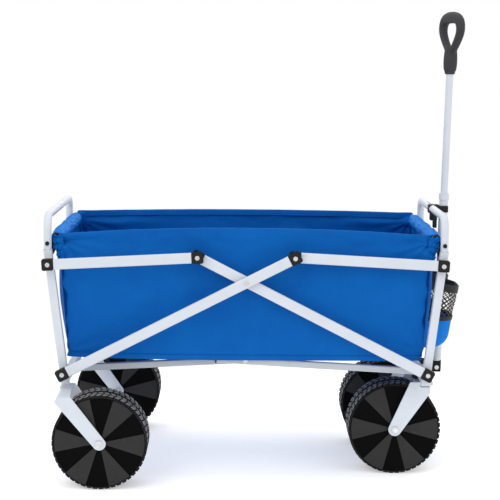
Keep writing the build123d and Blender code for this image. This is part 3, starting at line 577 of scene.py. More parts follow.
def wall_point(x_share, v, end, side, sizes):
    """A point of a long wall: v is 0 at the hem and 1 at the rim, and above 1 on the turned-in fold."""
    tall = min(v, 1.0)
    sag = 0.012 if end > 0 else 0.006
    low = HEM_MID_Z + (HEM_END_Z - HEM_MID_Z - sag) * x_share**2.5
    bow = RIM_MID_Z - RIM_END_Z if side < 0 else 0.006
    top = RIM_MID_Z - bow * x_share**2.2
    z = low + (top - low) * tall
    x = x_share * (half_length(z) + 0.005 * max(0.0, 1 - 3 * tall))
    at_edge = ease((x_share - 0.955) / 0.045)
    x += at_edge * (0.0026 * math.sin(61 * z + 2 * side + end) + 0.0018 * math.sin(137 * z + end))
    gather = ease((x_share - 0.90) / 0.10) * ease((tall - 0.70) / 0.3)
    folds = wall_folds(end * x, z, side)
    belly = sizes.belly * (1 - x_share**2.4) * math.sin(math.pi * min(1.0, 0.08 + 0.86 * tall)) ** 0.7
    calm = 1 - 0.55 * ease((x_share - 0.985) / 0.015)
    y = WALL_Y + belly + sizes.crease * folds * calm * 0.62
    y += gather * 0.0055 * math.sin(62 * tall + 2.1 * side + end)
    y += at_edge * 0.0022 * math.sin(88 * z + 3.1 * side)
    z += gather * 0.004 * math.sin(52 * tall + side) * (1 if v <= 1 else 0.4)
    hem = 1 - ease((z - low) / sizes.hem)
    y += 0.0010 * hem
    wrap = max(0.0, x_share - 0.982) / 0.018
    y -= 0.010 * (1 - math.sqrt(max(0.0, 1 - wrap * wrap)))
    if v > 1:
        over = (v - 1) / RIM_TURN
        turn = min(1.0, over / 0.4) * math.pi
        y -= 0.0018 * (1 - math.cos(turn))
        z += 0.0018 * math.sin(turn) - 0.013 * max(0.0, over - 0.4) / 0.6
    y = min(y, WALL_Y + 0.019)
    return Vector((MID_X + end * x, side * y, z))


def make_walls(sizes):
    """The two long walls of the tub, each of a rear and a front half that meet at the mid-span."""
    tall = (RIM_MID_Z - HEM_MID_Z) * (1 + RIM_TURN)
    long = half_length(LENGTH_Z)
    for end_name, end, side_name, side in CORNERS:

        def point(u, v):
            return wall_point(u, v * (1 + RIM_TURN), end, side, sizes)

        def measure(u, v):
            return end * u * long, v * tall, v * tall

        piece = cloth_grid(f"{end_name}_wall_{side_name}", 128, 96, point, measure)
        sewn(piece, "tub_cloth", sizes.cloth)
        fitted(piece, f"{end_name}_frame", "blue_fabric", f"{end_name}_side_panels")
        crumple(piece, end)


def crumple(piece, end):
    """Gives the piece a mesh of its own."""
    -end * math.sin(POST_LEAN)
    MID_X + end * PIVOT_X
    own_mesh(piece)


def end_point(u, v, end, sizes):
    """A point of a short wall: u runs across it and v up from the floor to the rim tube."""
    y = (u - 0.5) * 2 * (WALL_Y - 0.003)
    z = FLOOR_LOW_Z + v * (TUBE_Z - FLOOR_LOW_Z)
    across = 1 - (y / WALL_Y) ** 2
    beside = bell(abs(y) - 0.188, 0.024)
    swell = math.sin(math.pi * v) * (0.0055 * across + 0.0125 * beside)
    rays = ((-12, 0.13, 0.008, 1.0), (-30, 0.12, 0.008, -0.9), (-52, 0.11, 0.008, 0.9), (-74, 0.10, 0.008, -0.6))
    folds = 0.7 * noise.noise(Vector((y * 9, end * 4.1, z * 8)))
    folds += 0.22 * noise.noise(Vector((y * 40, end, z * 30)))
    for side in (-1, 1):
        folds += fan(side * y, z, (0.212, TUBE_Z - 0.012), rays)
        folds += 0.8 * ridge(side * y, z, (0.21, 0.32), (0.09, 0.36), 0.010)
    edge = ease((WALL_Y - abs(y)) / 0.02)
    x = half_length(z) + 0.0012 + swell + sizes.crease * 0.55 * folds * edge
    return Vector((MID_X + end * x, y, z))


def make_ends(sizes):
    """The short walls, hung from the sleeves at both ends."""
    wide, tall = 2 * WALL_Y, TUBE_Z - FLOOR_LOW_Z
    for end_name, end in ENDS.items():

        def point(u, v):
            return end_point(u, v, end, sizes)

        def measure(u, v):
            return u * wide, v * tall, min(u * wide, (1 - u) * wide, v * tall)

        piece = cloth_grid(f"{end_name}_end_wall", 110, 76, point, measure)
        sewn(piece, "tub_cloth", sizes.cloth)
        fitted(piece, f"{end_name}_frame", "blue_fabric", f"{end_name}_end_panel")
        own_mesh(piece)


def make_sleeves(sizes):
    """Rolled sleeves round the rim tubes, puckered along their seam and tied in at both ends."""
    long = TUBE_HIGH.y - TUBE_LOW.y - 0.004
    for end_name, end in ENDS.items():

        def point(u, v):
            angle = u * FULL_TURN
            y = (v - 0.5) * long
            tie = ease((long / 2 - abs(y)) / 0.022)
            pucker = 0.5 + 0.5 * math.cos(angle - 0.9)
            twist = angle + 9 * y
            folds = 0.55 * math.sin(y * 175 + 2.2 * math.cos(angle)) * pucker**1.5
            folds += 0.6 * math.sin(2 * twist + 31 * y) * (1 - 0.5 * tie)
            folds += 1.0 * noise.noise(Vector((3.2 * math.cos(angle), y * 42, 3.2 * math.sin(angle) + 7 * end)))
            swell = 0.35 * math.sin(y * 29 + end)
            r = TUBE_R + 0.0016 + (sizes.sleeve - TUBE_R - 0.0016) * (0.45 + 0.55 * tie)
            r += 0.0024 * folds * (0.6 + 0.4 * tie) + 0.0008 * swell
            r = max(r, TUBE_R + 0.0012)
            x = TUBE_X + math.cos(angle) * r
            return Vector((MID_X + end * x, y, TUBE_Z + math.sin(angle) * r))

        def measure(u, v):
            seam = abs(u - 0.72) * FULL_TURN * sizes.sleeve
            return v * long, u * FULL_TURN * sizes.sleeve, seam + 0.004

        piece = cloth_grid(f"{end_name}_rim_roll", 56, 190, point, measure)
        sewn(piece, "sleeve_cloth", 0.0011, offset=-1.0)
        fitted(piece, f"{end_name}_frame", "sleeve_fabric", f"{end_name}_rim_sleeve")


def make_pads(sizes):
    """The tub's floor: stiffened mats with sewn channels, blown up a little by a short simulation."""
    for end_name, end in ENDS.items():
        low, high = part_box(f"{end_name}_floor")
        middle, size = (low + high) / 2, high - low
        piece = started(
            bpy.ops.mesh.primitive_cube_add, f"{end_name}_floor_mat", size=1,
            location=middle, scale=(size.x - 0.004, size.y - 0.004, 0.0055),
        )
        settled(piece)
        modified(piece, "BEVEL", width=0.0022, segments=2)
        modified(piece, "REMESH", mode="VOXEL", voxel_size=0.0050, use_smooth_shade=True)
        blown(piece, 0.0035)
        mesh = piece.data
        channel, seam_half = 0.1475, 0.006
        for vertex in mesh.vertices:
            place = vertex.co
            across = abs((place.y + 0.2212) % channel - channel / 2) - channel / 2
            seam = bell(across, seam_half)
            middle_seam = bell(place.x - middle.x, seam_half)
            flat = 1 - 0.45 * max(seam, middle_seam)
            vertex.co.z = middle.z + (place.z - middle.z) * flat
        plan_uv(mesh)
        modified(piece, "SUBSURF", levels=1, render_levels=1)
        smooth(piece, 80)
        dressed(piece, "pad_cloth")
        fitted(piece, f"{end_name}_frame", "blue_fabric", f"{end_name}_floor")
        crumple(piece, end)


def blown(piece, cap):
    """A few steps of cloth under pressure, with each point moved at most by cap."""
    rest = [v.co.copy() for v in piece.data.vertices]
    alone(piece)
    cloth = piece.modifiers.new("Cloth", "CLOTH")
    settings = cloth.settings
    settings.use_pressure = True
    settings.uniform_pressure_force = 4
    settings.quality = 4
    settings.effector_weights.gravity = 0
    scene = bpy.context.scene
    for step in range(1, 15):
        scene.frame_set(step)
    bpy.ops.object.modifier_apply(modifier=cloth.name)
    scene.frame_set(1)
    for vertex, was in zip(piece.data.vertices, rest):
        move = vertex.co - was
        if move.length > cap:
            vertex.co = was + move * (cap / move.length)


# ---------------------------------------------------------------- cup pockets


def pocket_path(side, front):
    """The U of one pocket seen from above: from the end wall out, along the front and back in."""
    inner, outer, corner = 0.032, 0.148, 0.030

    def at(q, drop, z):
        lean = (0.480 - z) * 0.17
        front_x = front - lean - drop
        back_x = MID_X + half_length(z) + 0.002
        straight = front_x - corner - back_x
        arc = math.pi / 2 * corner
        wide = outer - inner - 2 * corner
        total = 2 * straight + 2 * arc + wide
        s = q * total
        if s < straight:
            x, y = back_x + s, inner
        elif s < straight + arc:
            a = (s - straight) / corner
            x, y = front_x - corner + corner * math.sin(a), inner + corner - corner * math.cos(a)
        elif s < straight + arc + wide:
            x, y = front_x, inner + corner + s - straight - arc
        elif s < straight + 2 * arc + wide:
            a = (s - straight - arc - wide) / corner
            x, y = front_x - corner + corner * math.cos(a), outer - corner + corner * math.sin(a)
        else:
            x, y = front_x - corner - (s - straight - 2 * arc - wide), outer
        return Vector((x, side * y, z)), total

    return at


def make_pockets(sizes):
    """Two cup pockets on the front end wall: webbing band, net, binding and a rounded cloth foot."""
    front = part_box("cup_pockets")[1].x
    thin, floor_z = 0.0009, 0.3135
    bands = {
        "band": (0.462, 0.481, "black_webbing", 0.0, 8),
        "net": (0.388, 0.465, "pocket_net", 0.0008, 16),
        "binding": (0.380, 0.390, "black_webbing", -0.0004, 4),
        "foot": (0.313, 0.384, "sleeve_cloth", 0.0004, 22),
    }
    for side_name, side in SIDES.items():
        at = pocket_path(side, front)
        around = at(0.5, 0.0, LENGTH_Z)[1]
        for part, (z_low, z_high, finish, drop, rows) in bands.items():

            def point(u, v):
                z = z_low + (z_high - z_low) * v
                inset = drop
                if part == "foot":
                    inset += 0.022 * (1 - math.sqrt(max(0.0, 1 - (1 - min(1.0, v / 0.42)) ** 2)))
                wave = 0.0011 * math.sin(u * 23 + 17 * z * side)
                wave += 0.0009 * noise.noise(Vector((u * 9, z * 40, side)))
                place = at(u, inset, z)[0]
                place.x += wave if part != "band" else wave * 0.4
                if part in ("band", "net"):
                    tip = ease((z - 0.388) / 0.08)
                    place.z -= 0.20 * tip * max(0.0, place.x - (MID_X + half_length(z)) - 0.010)
                return place

            def measure(u, v):
                return u * around, v * (z_high - z_low), 0.05

            piece = cloth_grid(f"cup_pocket_{part}_{side_name}", 60, rows, point, measure)
            sewn(piece, finish, 0.0022 if part in ("band", "binding") else thin)
            fitted(piece, "front_frame", "blue_fabric" if part == "foot" else "pocket_mesh", "cup_pockets")
        floor = started(
            bpy.ops.mesh.primitive_grid_add, f"cup_pocket_bottom_{side_name}",
            x_subdivisions=24, y_subdivisions=24, size=1,
        )
        for vertex in floor.data.vertices:
            u, v = vertex.co.x + 0.5, vertex.co.y + 0.5
            edge = at(u, 0.021, floor_z)[0]
            back = Vector((MID_X + half_length(floor_z), edge.y, floor_z))
            vertex.co = back.lerp(edge, v)
        plan_uv(floor.data)
        sewn(floor, "pad_cloth", thin, merge=0.0002)
        fitted(floor, "front_frame", "blue_fabric", "cup_pockets")


# ---------------------------------------------------------------- wheels and tyres


def wheel_box(which):
    """Middle and half size of one wheel with its tyre."""
    low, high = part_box(f"{which}_tyre")
    return (low + high) / 2, (high - low) / 2


def make_wheels(sizes):
    """Blow moulded wheels: twelve sectors on each face, six of them raised, round a plain hub."""
    half = wheel_box("rear_right")[1]
    deep, hub = half.y - 0.0040, 0.0125
    rim = half.x - sizes.tread - 0.0010
    wheel = started(
        bpy.ops.mesh.primitive_cylinder_add, "wheel_blank", vertices=144, radius=rim, depth=2 * deep,
        end_fill_type="NGON", rotation=(math.pi / 2, 0, 0),
    )
    settled(wheel)
    editing(wheel)
    pick(wheel, lambda c, n: abs(n.y) > 0.9)
    rings = (rim, rim - 0.0008, rim - 0.0018, 0.088, 0.071, 0.054, 0.037, 0.023, hub)
    for outer, inner in zip(rings, rings[1:]):
        bpy.ops.mesh.inset(thickness=outer - inner, depth=0.0)
    bpy.ops.mesh.inset(thickness=0.0010, depth=0.0018)
    bpy.ops.mesh.inset(thickness=0.0045, depth=0.0)
    bpy.ops.mesh.inset(thickness=0.0010, depth=-0.0012)
    for face_side in (-1, 1):

        def raised(place, normal):
            radius = math.hypot(place.x, place.z)
            turn = math.degrees(math.atan2(place.z, place.x)) % 360
            on_face = normal.y * face_side > 0.9 and abs(abs(place.y) - deep) < 0.0001
            return on_face and hub < radius < rim - 0.0019 and int(turn // 30) % 2 == 0

        pick(wheel, raised)
        bpy.ops.mesh.extrude_region_move(TRANSFORM_OT_translate={"value": (0, face_side * sizes.sector, 0)})
    edited()
    outwards(wheel)
    dressed(wheel, "sunk_plastic", "sector_plastic")
    for face in wheel.data.polygons:
        centre = face.center
        raised_top = abs(centre.y) > deep + sizes.sector * 0.6 and abs(face.normal.y) > 0.9
        face.material_index = 1 if raised_top and math.hypot(centre.x, centre.z) > hub + 0.001 else 0
    modified(wheel, "BEVEL", width=0.0006, segments=2, limit_method="ANGLE", angle_limit=math.radians(40))
    smooth(wheel, 30)

    tyre = made_tyre(half, rim, sizes)
    turns = {"rear_right": 18.0, "rear_left": 14.0, "front_right": 15.0, "front_left": -11.0}
    for which, turn in turns.items():
        place = Matrix.Translation(wheel_box(which)[0]) @ Matrix.Rotation(math.radians(turn), 4, "Y")
        for blank, name, finish in ((wheel, "disc", "wheel_plastic"), (tyre, "tread", "tyre_rubber")):
            piece = copied(blank, f"{which}_{name}", place)
            end_name, side_name = which.split("_")
            node = f"{which}_wheel" if name == "disc" else f"{which}_tyre"
            fitted(piece, f"{end_name}_wheel_{side_name}", finish, node)
    for blank in (wheel, tyre):
        bpy.data.objects.remove(blank)


def made_tyre(half, rim, sizes):
    """Foam tyre: two rows of staggered blocks, a groove between them, and thin round shoulders."""
    outer, wide = half.x, half.y
    base = outer - sizes.tread
    groove, lip = 0.0068, wide - 0.0055
    outline = [
        (base - 0.0042, groove - 0.002), (base, groove), (base, wide * 0.465), (base - 0.0012, wide * 0.49),
        (base, wide * 0.515), (base, lip), (base - 0.0006, wide - 0.0010), (rim - 0.0002, wide - 0.0022),
        (rim - 0.006, wide - 0.010),
    ]
    outline = [(r, -y) for r, y in reversed(outline)] + outline
    tyre = started(bpy.ops.mesh.primitive_plane_add, "tyre_blank", size=0.01)
    mesh = bmesh.new()
    points = [mesh.verts.new((r, y, 0)) for r, y in outline]
    for one, two in zip(points, points[1:]):
        mesh.edges.new((one, two))
    mesh.to_mesh(tyre.data)
    mesh.free()
    steps, pattern = 240, 5  # one step of each pattern is a gap between two blocks
    alone(tyre)
    bpy.ops.object.mode_set(mode="EDIT")
    bpy.ops.mesh.select_all(action="SELECT")
    bpy.ops.mesh.spin(steps=steps, angle=FULL_TURN, center=(0, 0, 0), axis=(0, 1, 0))
    outwards(tyre, 0.0001)
    editing(tyre)

    def block(place, normal):
        radius = math.hypot(place.x, place.z)
        y = abs(place.y)
        if radius < base - 0.0006 or y > lip or y < groove or wide * 0.463 < y < wide * 0.517:
            return False
        row = (0 if place.y < 0 else 1) + (0 if y < wide / 2 else 2)
        turn = math.degrees(math.atan2(place.z, place.x))
        step = int(round(turn / (360 / steps) - 0.5)) + (0, 2, 4, 1)[row]
        return step % pattern != 0

    pick(tyre, block)
    bpy.ops.mesh.inset(thickness=0.0002, depth=0.0)
    bpy.ops.mesh.inset(thickness=0.0004, depth=sizes.tread)
    edited()
    # slanted blocks, as on a herringbone tread
    for vertex in tyre.data.vertices:
        place = vertex.co
        slant = math.radians(3.2) * math.sin(math.pi * abs(place.y) / wide)
        vertex.co = Matrix.Rotation(slant, 3, "Y") @ place
    outwards(tyre)
    dressed(tyre, "tread_side", "tread_top")
    for face in tyre.data.polygons:
        top = math.hypot(face.center.x, face.center.z) > outer - 0.0007
        face.material_index = 1 if top else 0
    smooth(tyre, 32)
    return tyre


def make_gathers(sizes):
    """Bunched cloth at the four top corners, where the walls are drawn in round the brackets."""
    low, high, run = TUBE_Z - 0.056, TUBE_Z + 0.006, 0.032
    for end_name, end, side_name, side in CORNERS:

        def point(u, v):
            z = low + (high - low) * v
            start = half_length(z) - 0.008
            edge = run * (0.42 + 0.58 * v**0.8 + 0.07 * math.sin(17 * v + side))
            pleats = math.sin(v * 26 + 2.6 * u + end) + 0.45 * math.sin(v * 49 + side * 2)
            y = WALL_Y + 0.0050 + 0.0028 * pleats * (0.35 + 0.65 * u) - 0.0030 * ease(u * 1.3 - 0.3)
            y += 0.0030 * math.sin(math.pi * u)
            z += 0.0022 * math.sin(17 * u + 23 * v)
            return Vector((MID_X + end * (start + edge * u), side * y, z))

        def measure(u, v):
            return u * run, v * (high - low), 0.05

        piece = cloth_grid(f"{end_name}_gather_{side_name}", 30, 64, point, measure)
        sewn(piece, "pad_cloth", sizes.cloth)
        fitted(piece, f"{end_name}_frame", "blue_fabric")
        crumple(piece, end)


# ---------------------------------------------------------------- small hard parts


def rounded_box(name, low, high, radius):
    """A block with rounded edges between two corners."""
    low, high = Vector(low), Vector(high)
    piece = started(
        bpy.ops.mesh.primitive_cube_add, name, size=1, location=(low + high) / 2, scale=high - low
    )
    settled(piece)
    modified(piece, "BEVEL", width=radius, segments=3)
    smooth(piece, 40)
    return piece


def rod(name, radius, depth, z, vertices=48):
    """An upright cylinder round the z axis."""
    piece = started(
        bpy.ops.mesh.primitive_cylinder_add, name, vertices=vertices, radius=radius, depth=depth, location=(0, 0, z)
    )
    return settled(piece)


def joined(name, pieces):
    """One object of several meshes."""
    alone(pieces[0])
    for piece in pieces[1:]:
        piece.select_set(True)
    bpy.ops.object.join()
    pieces[0].name = pieces[0].data.name = name
    return pieces[0]


def make_pole_fittings():
    """The knuckle block at the pole's foot, its white sleeve and the clip that holds the pole."""
    low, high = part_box("handle_pin")
    pivot = (low + high) / 2
    lean = Matrix.Translation(pivot) @ Matrix.Rotation(POLE_LEAN, 4, "Y")
    block = rounded_box("pole_knuckle", (-0.0118, -0.0098, -0.0130), (0.0118, 0.0098, 0.0185), 0.0022)
    block.data.transform(lean)
    dressed(block, "fitting_plastic")
    fitted(block, "handle", "black_plastic", "handle_foot")
    sleeve = rod("pole_sleeve", 0.0124, 0.048, 0.0405)
    modified(sleeve, "BEVEL", width=0.0012, segments=2, limit_method="ANGLE")
    smooth(sleeve, 40)
    sleeve.data.transform(lean)
    dressed(sleeve, "frame_powder")
    fitted(sleeve, "handle", "white_steel", "handle_foot")

    bar_low, bar_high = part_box("front_carry_bar")
    bar_r = 0.0095
    bar_x, bar_z = bar_low.x + bar_r, bar_high.z - bar_r
    pole_x = pivot.x + (bar_z - pivot.z) * math.tan(POLE_LEAN)
    # ring round the bar, the fork's two prongs, its root and the tongue: x, y, height over the bar, edge radius
    boxes = (
        (bar_x - 0.0112, pole_x - 0.0118, -0.0120, 0.0120, -0.0112, 0.0112, 0.0035),
        (bar_x, pole_x + 0.0105, -0.0150, -0.0116, -0.0085, 0.0085, 0.0015),
        (bar_x, pole_x + 0.0105, 0.0116, 0.0150, -0.0085, 0.0085, 0.0015),
        (bar_x - 0.0060, bar_x + 0.0120, -0.0110, 0.0110, -0.0300, -0.0090, 0.0030),
        (bar_x + 0.0020, bar_x + 0.0115, -0.0090, 0.0090, -0.0490, -0.0280, 0.0022),
    )
    parts = [
        rounded_box("clip_part", (x_low, y_low, bar_z + z_low), (x_high, y_high, bar_z + z_high), radius)
        for x_low, x_high, y_low, y_high, z_low, z_high, radius in boxes
    ]
    clip = joined("pole_clip", parts)
    dressed(clip, "fitting_plastic")
    fitted(clip, "front_frame", "black_plastic", "storage_clip")


def bent_bar(name, line, radius, closed=False):
    """A round bar along smooth points; each point is (place, thickness share)."""
    curve = bpy.data.curves.new(name, "CURVE")
    curve.dimensions, curve.bevel_depth, curve.bevel_resolution = "3D", radius, 5
    curve.use_fill_caps = True
    spline = curve.splines.new("NURBS")
    spline.points.add(len(line) - 1)
    for point, (place, share) in zip(spline.points, line):
        point.co, point.radius = (*place, 1), share
    spline.order_u, spline.use_cyclic_u, spline.use_endpoint_u = 4, closed, not closed
    spline.resolution_u = 10
    holder = linked(name + "_line", curve)
    mesh = bpy.data.meshes.new_from_object(holder)
    bpy.data.objects.remove(holder)
    return linked(name, mesh)


def make_grip():
    """The loop grip: two strands with finger ribs that meet in an arch, a thick neck and a collar."""
    pole_length = 0.745
    low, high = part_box("handle_pin")
    place = (
        Matrix.Translation((low + high) / 2) @ Matrix.Rotation(POLE_LEAN, 4, "Y")
        @ Matrix.Translation((0, 0, pole_length)) @ Matrix.Rotation(math.radians(17), 4, "Z")
    )
    # across, up and thickness share of one half of the loop
    half = (
        (0.000, 0.054, 0.92), (0.019, 0.072, 0.92), (0.040, 0.094, 0.98), (0.054, 0.116, 1.04),
        (0.045, 0.141, 1.16), (0.020, 0.1480, 1.40),
    )
    line = [((0, y, z), share) for y, z, share in half]
    line += [((0, -y, z), share) for y, z, share in reversed(half[1:])]
    loop = bent_bar("grip_loop_bar", line, 0.0108, closed=True)
    swell = ((0.015, 0.92), (0.026, 1.10), (0.050, 1.12), (0.078, 0.85))
    neck = bent_bar("grip_neck", [((0, 0, z), share) for z, share in swell], 0.0168)
    foot = rod("grip_foot", 0.0132, 0.014, 0.0130, 40)
    grip = joined("grip_loop", [loop, neck, foot])
    modified(grip, "REMESH", mode="VOXEL", voxel_size=0.0016, use_smooth_shade=True)
    modified(grip, "SMOOTH", factor=0.6, iterations=14)
    for vertex in grip.data.vertices:
        x, y, z = vertex.co
        seam = bell(x, 0.0009)
        ribs = 0.0007 * math.sin(z * 1400) if 0.078 < z < 0.118 and abs(y) > 0.034 else 0.0
        vertex.co.y += (0.0008 * seam - ribs) * (-1 if y > 0 else 1) * (1 if abs(y) > 0.028 else 0)
    grip.data.transform(place)
    smooth(grip, 60)
    dressed(grip, "grip_plastic")
    fitted(grip, "handle_slider", "grip_plastic", "grip_front_shell", "grip_rear_shell")


def plate_hull(name, points, radius):
    """A solid plate stretched round a few points, with soft edges."""
    piece = started(bpy.ops.mesh.primitive_plane_add, name, size=0.01)
    mesh = bmesh.new()
    for place in points:
        mesh.verts.new(place)
    bmesh.ops.convex_hull(mesh, input=mesh.verts)
    bmesh.ops.dissolve_limit(mesh, angle_limit=math.radians(1), verts=mesh.verts, edges=mesh.edges)
    mesh.to_mesh(piece.data)
    mesh.free()
    modified(piece, "BEVEL", width=radius, segments=2, limit_method="ANGLE", angle_limit=math.radians(25))
    smooth(piece, 35)
    return piece


def make_rear_forks():
    """Fixed rear forks: a seat under the post, a flare out over the wheel and two long blades."""
    low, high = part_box("rear_forks")
    axle = wheel_box("rear_right")[0]
    thick, tip, crown = 0.004, 0.016, 0.022
    crown_x, outer_y, top_z = low.x + crown, high.y, high.z
    inner_y = 2 * abs(axle.y) - outer_y
    outer_top = top_z - 0.010

    def blade(name, y, head):
        points = []
        for side_y in (y, y + thick):
            for step in range(13):
                turn = math.pi * (1.1 + step / 12)
                points.append((axle.x + tip * math.cos(turn), side_y, axle.z + tip * math.sin(turn)))
            points += [(crown_x - crown, side_y, head - 0.012), (crown_x + crown, side_y, head - 0.016)]
            points += [(crown_x - crown * 0.72, side_y, head), (crown_x + crown * 0.78, side_y, head)]
        return plate_hull(name, points, 0.0012)

    def shoulder(name, one, two, half_one, half_two, z_one, z_two):
        points = []
        for y, half, z in ((one, half_one, z_one), (two, half_two, z_two)):
            for x in (crown_x - half, crown_x + half):
                points += [(x, y, z), (x, y, z - 0.009)]
        return plate_hull(name, points, 0.0012)

    post_in, post_out = 0.224, 0.247
    for side_name, side in SIDES.items():
        parts = [
            blade("outer_blade", outer_y - thick, outer_top),
            blade("inner_blade", inner_y, top_z),
            shoulder("flare", post_out - 0.004, outer_y - 0.001, 0.0125, crown * 0.74, top_z, outer_top),
            shoulder("seat", post_in, post_out, 0.0135, 0.0135, top_z, top_z),
        ]
        fork = joined(f"{side_name}_rear_fork", parts)
        if side < 0:
            fork.data.transform(Matrix.Scale(-1, 4, (0, 1, 0)))
            fork.data.flip_normals()
        dressed(fork, "frame_powder")
        fitted(fork, "rear_frame", "white_steel", "rear_forks")


def make_frame_finishes():
    """Powder coat, zinc and moulded plastic on the parts that keep their own shape."""
    finishes = {
        "frame_powder": (
            "rear_frame_tubes rear_push_bar front_frame_tubes front_carry_bar long_bars_a long_bars_b "
            "front_top_bars rear_top_bars caster_right_fork caster_left_fork handle_outer_tube handle_inner_tube "
            "rear_rim_tube front_rim_tube handle_collar"
        ),
        # the rails get the darker copy of the powder coat, painted shade under the tub
        "rail_powder": "front_floor_rails rear_floor_rails",
        "zinc_plate": (
            "rear_pivot_pins rear_axles front_pivot_pins handle_pin long_bar_a_rivets rear_top_bar_rivets "
            "front_rail_rivets caster_right_hardware caster_left_hardware"
        ),
        "fitting_plastic": (
            "rear_bar_plugs rear_corner_brackets front_plugs front_corner_brackets caster_sockets handle_bracket "
            "long_bar_a_blocks long_bar_b_blocks front_top_bar_blocks rear_top_bar_blocks front_rail_caps "
            "lock_button"
        ),
    }
    for finish, nodes in finishes.items():
        for node in nodes.split():
            dressed(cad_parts[node], finish)


# ---------------------------------------------------------------- stage


def make_stage():
    """Pale floor, soft studio lamps and the camera."""
    scene = bpy.context.scene
    floor = started(bpy.ops.mesh.primitive_plane_add, "studio_ground", size=60)
    dressed(floor, "studio_floor")
    lamps = (
        ("key", (-2.2, -3.4, 3.6), 2.6, 40, (1.0, 0.99, 0.97)),
        ("fill", (3.4, -3.0, 2.2), 3.0, 12, (0.94, 0.97, 1.0)),
        ("top", (0.2, 0.4, 4.2), 3.6, 36, (1.0, 1.0, 1.0)),
        ("back", (0.6, 4.0, 2.6), 3.0, 16, (1.0, 1.0, 1.0)),
    )
    aim = Vector((0, 0, 0.4))
    for name, place, size, power, colour in lamps:
        lamp = bpy.data.lights.new(name, "AREA")
        lamp.shape, lamp.size, lamp.energy, lamp.color = "SQUARE", size, power, colour
        holder = linked(name, lamp)
        holder.location = place
        holder.rotation_mode = "QUATERNION"
        holder.rotation_quaternion = (aim - Vector(place)).to_track_quat("-Z", "Y")
    world = bpy.data.worlds.new("studio")
    world.use_nodes = True
    sky = world.node_tree.nodes["Background"].inputs
    sky["Color"].default_value, sky["Strength"].default_value = (1, 1, 1, 1), 1.0
    scene.world = world
    scene.view_settings.view_transform = "Standard"
    lens = bpy.data.cameras.new("studio_camera")
    lens.lens, lens.sensor_width = 106.2, 36
    lens.clip_start, lens.clip_end = 0.1, 100
    camera = linked("studio_camera", lens)
    pitch, yaw, roll = math.radians(7.36), math.radians(0.60), math.radians(0.46)
    ahead = Vector((math.sin(yaw) * math.cos(pitch), math.cos(yaw) * math.cos(pitch), -math.sin(pitch)))
    right = Vector((math.cos(yaw), -math.sin(yaw), 0))
    above = right.cross(ahead)
    tilted = right * math.cos(roll) + above * math.sin(roll)
    upright = above * math.cos(roll) - right * math.sin(roll)
    turn = Matrix((tilted, upright, -ahead)).transposed()
    camera.matrix_world = Matrix.Translation((MID_X - 0.028, -3.746, 1.019)) @ turn.to_4x4()
    scene.camera = camera


# ---------------------------------------------------------------- the add-on


class CART_OT_stage(bpy.types.Operator):
    """Floor, lamps and camera"""
    bl_idname = "cart.stage"
    bl_label = "Stage"

    def execute(self, context):
        make_stage()
        return {"FINISHED"}


class CART_OT_frame_finishes(bpy.types.Operator):
    """Finishes of the steel and plastic parts"""
    bl_idname = "cart.frame_finishes"
    bl_label = "Frame finishes"

    def execute(self, context):
        make_frame_finishes()
        return {"FINISHED"}


class CART_OT_wheels(bpy.types.Operator):
    """Wheels and tyres"""
    bl_idname = "cart.wheels"
    bl_label = "Wheels and tyres"

    def execute(self, context):
        make_wheels(context.scene.cart_sizes)
        return {"FINISHED"}


class CART_OT_walls(bpy.types.Operator):
    """Long walls of the cloth tub"""
    bl_idname = "cart.walls"
    bl_label = "Long walls"

    def execute(self, context):
        make_walls(context.scene.cart_sizes)
        return {"FINISHED"}


class CART_OT_ends(bpy.types.Operator):
    """Short walls of the cloth tub"""
    bl_idname = "cart.ends"
    bl_label = "End walls"

    def execute(self, context):
        make_ends(context.scene.cart_sizes)
        return {"FINISHED"}


class CART_OT_sleeves(bpy.types.Operator):
    """Rolled sleeves round the rim tubes"""
    bl_idname = "cart.sleeves"
    bl_label = "Rolled sleeves"

    def execute(self, context):
        make_sleeves(context.scene.cart_sizes)
        return {"FINISHED"}


class CART_OT_floor_mats(bpy.types.Operator):
    """Stiffened floor mats"""
    bl_idname = "cart.floor_mats"
    bl_label = "Floor mats"

    def execute(self, context):
        make_pads(context.scene.cart_sizes)
        return {"FINISHED"}


class CART_OT_pockets(bpy.types.Operator):
    """Cup pockets with net"""
    bl_idname = "cart.pockets"
    bl_label = "Cup pockets"

    def execute(self, context):
        make_pockets(context.scene.cart_sizes)
        return {"FINISHED"}


class CART_OT_gathers(bpy.types.Operator):
    """Bunched cloth at the top corners"""
    bl_idname = "cart.gathers"
    bl_label = "Corner gathers"

    def execute(self, context):
        make_gathers(context.scene.cart_sizes)
        return {"FINISHED"}


class CART_OT_grip(bpy.types.Operator):
    """Loop grip of the pull handle"""
    bl_idname = "cart.grip"
    bl_label = "Grip"

    def execute(self, context):
        make_grip()
        return {"FINISHED"}


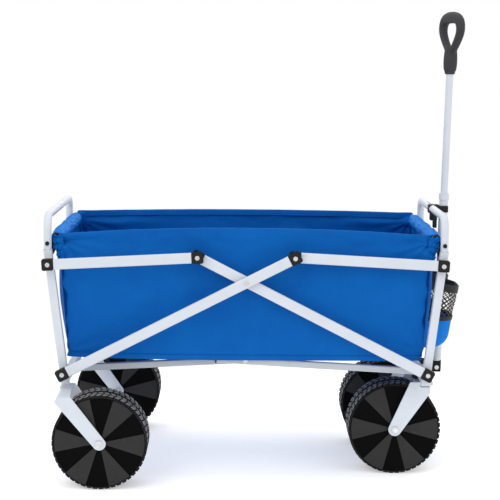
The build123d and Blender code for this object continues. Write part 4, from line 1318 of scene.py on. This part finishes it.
class CART_OT_rear_forks(bpy.types.Operator):
    """Fixed forks of the rear wheels"""
    bl_idname = "cart.rear_forks"
    bl_label = "Rear forks"

    def execute(self, context):
        make_rear_forks()
        return {"FINISHED"}


class CART_OT_pole_fittings(bpy.types.Operator):
    """Knuckle block, sleeve and clip of the pull handle"""
    bl_idname = "cart.pole_fittings"
    bl_label = "Pole fittings"

    def execute(self, context):
        make_pole_fittings()
        return {"FINISHED"}


PIECES = (
    CART_OT_stage, CART_OT_frame_finishes, CART_OT_wheels, CART_OT_walls, CART_OT_ends, CART_OT_sleeves,
    CART_OT_floor_mats, CART_OT_pockets, CART_OT_gathers, CART_OT_rear_forks,
    CART_OT_pole_fittings, CART_OT_grip,
)


class CART_PT_panel(bpy.types.Panel):
    """Buttons and sizes of the beach cart"""
    bl_label = "Beach cart"
    bl_idname = "CART_PT_panel"
    bl_space_type = "VIEW_3D"
    bl_region_type = "UI"
    bl_category = "Cart"

    def draw(self, context):
        for piece in PIECES:
            self.layout.operator(piece.bl_idname)
        for group in (context.scene.cart_sizes, context.scene.cart_colours):
            for name in group.__annotations__:
                self.layout.prop(group, name)


CLASSES = (CartSizes, CartColours, *PIECES, CART_PT_panel)


def register():
    for cls in CLASSES:
        bpy.utils.register_class(cls)
    bpy.types.Scene.cart_sizes = bpy.props.PointerProperty(type=CartSizes)
    bpy.types.Scene.cart_colours = bpy.props.PointerProperty(type=CartColours)


def unregister():
    del bpy.types.Scene.cart_colours
    del bpy.types.Scene.cart_sizes
    for cls in reversed(CLASSES):
        bpy.utils.unregister_class(cls)


def main():
    register()
    bpy.ops.cart.stage()
    bpy.ops.cart.frame_finishes()
    bpy.ops.cart.wheels()
    bpy.ops.cart.walls()
    bpy.ops.cart.ends()
    bpy.ops.cart.sleeves()
    bpy.ops.cart.floor_mats()
    bpy.ops.cart.pockets()
    bpy.ops.cart.gathers()
    bpy.ops.cart.rear_forks()
    bpy.ops.cart.pole_fittings()
    bpy.ops.cart.grip()


if __name__ == "__main__":
    main()
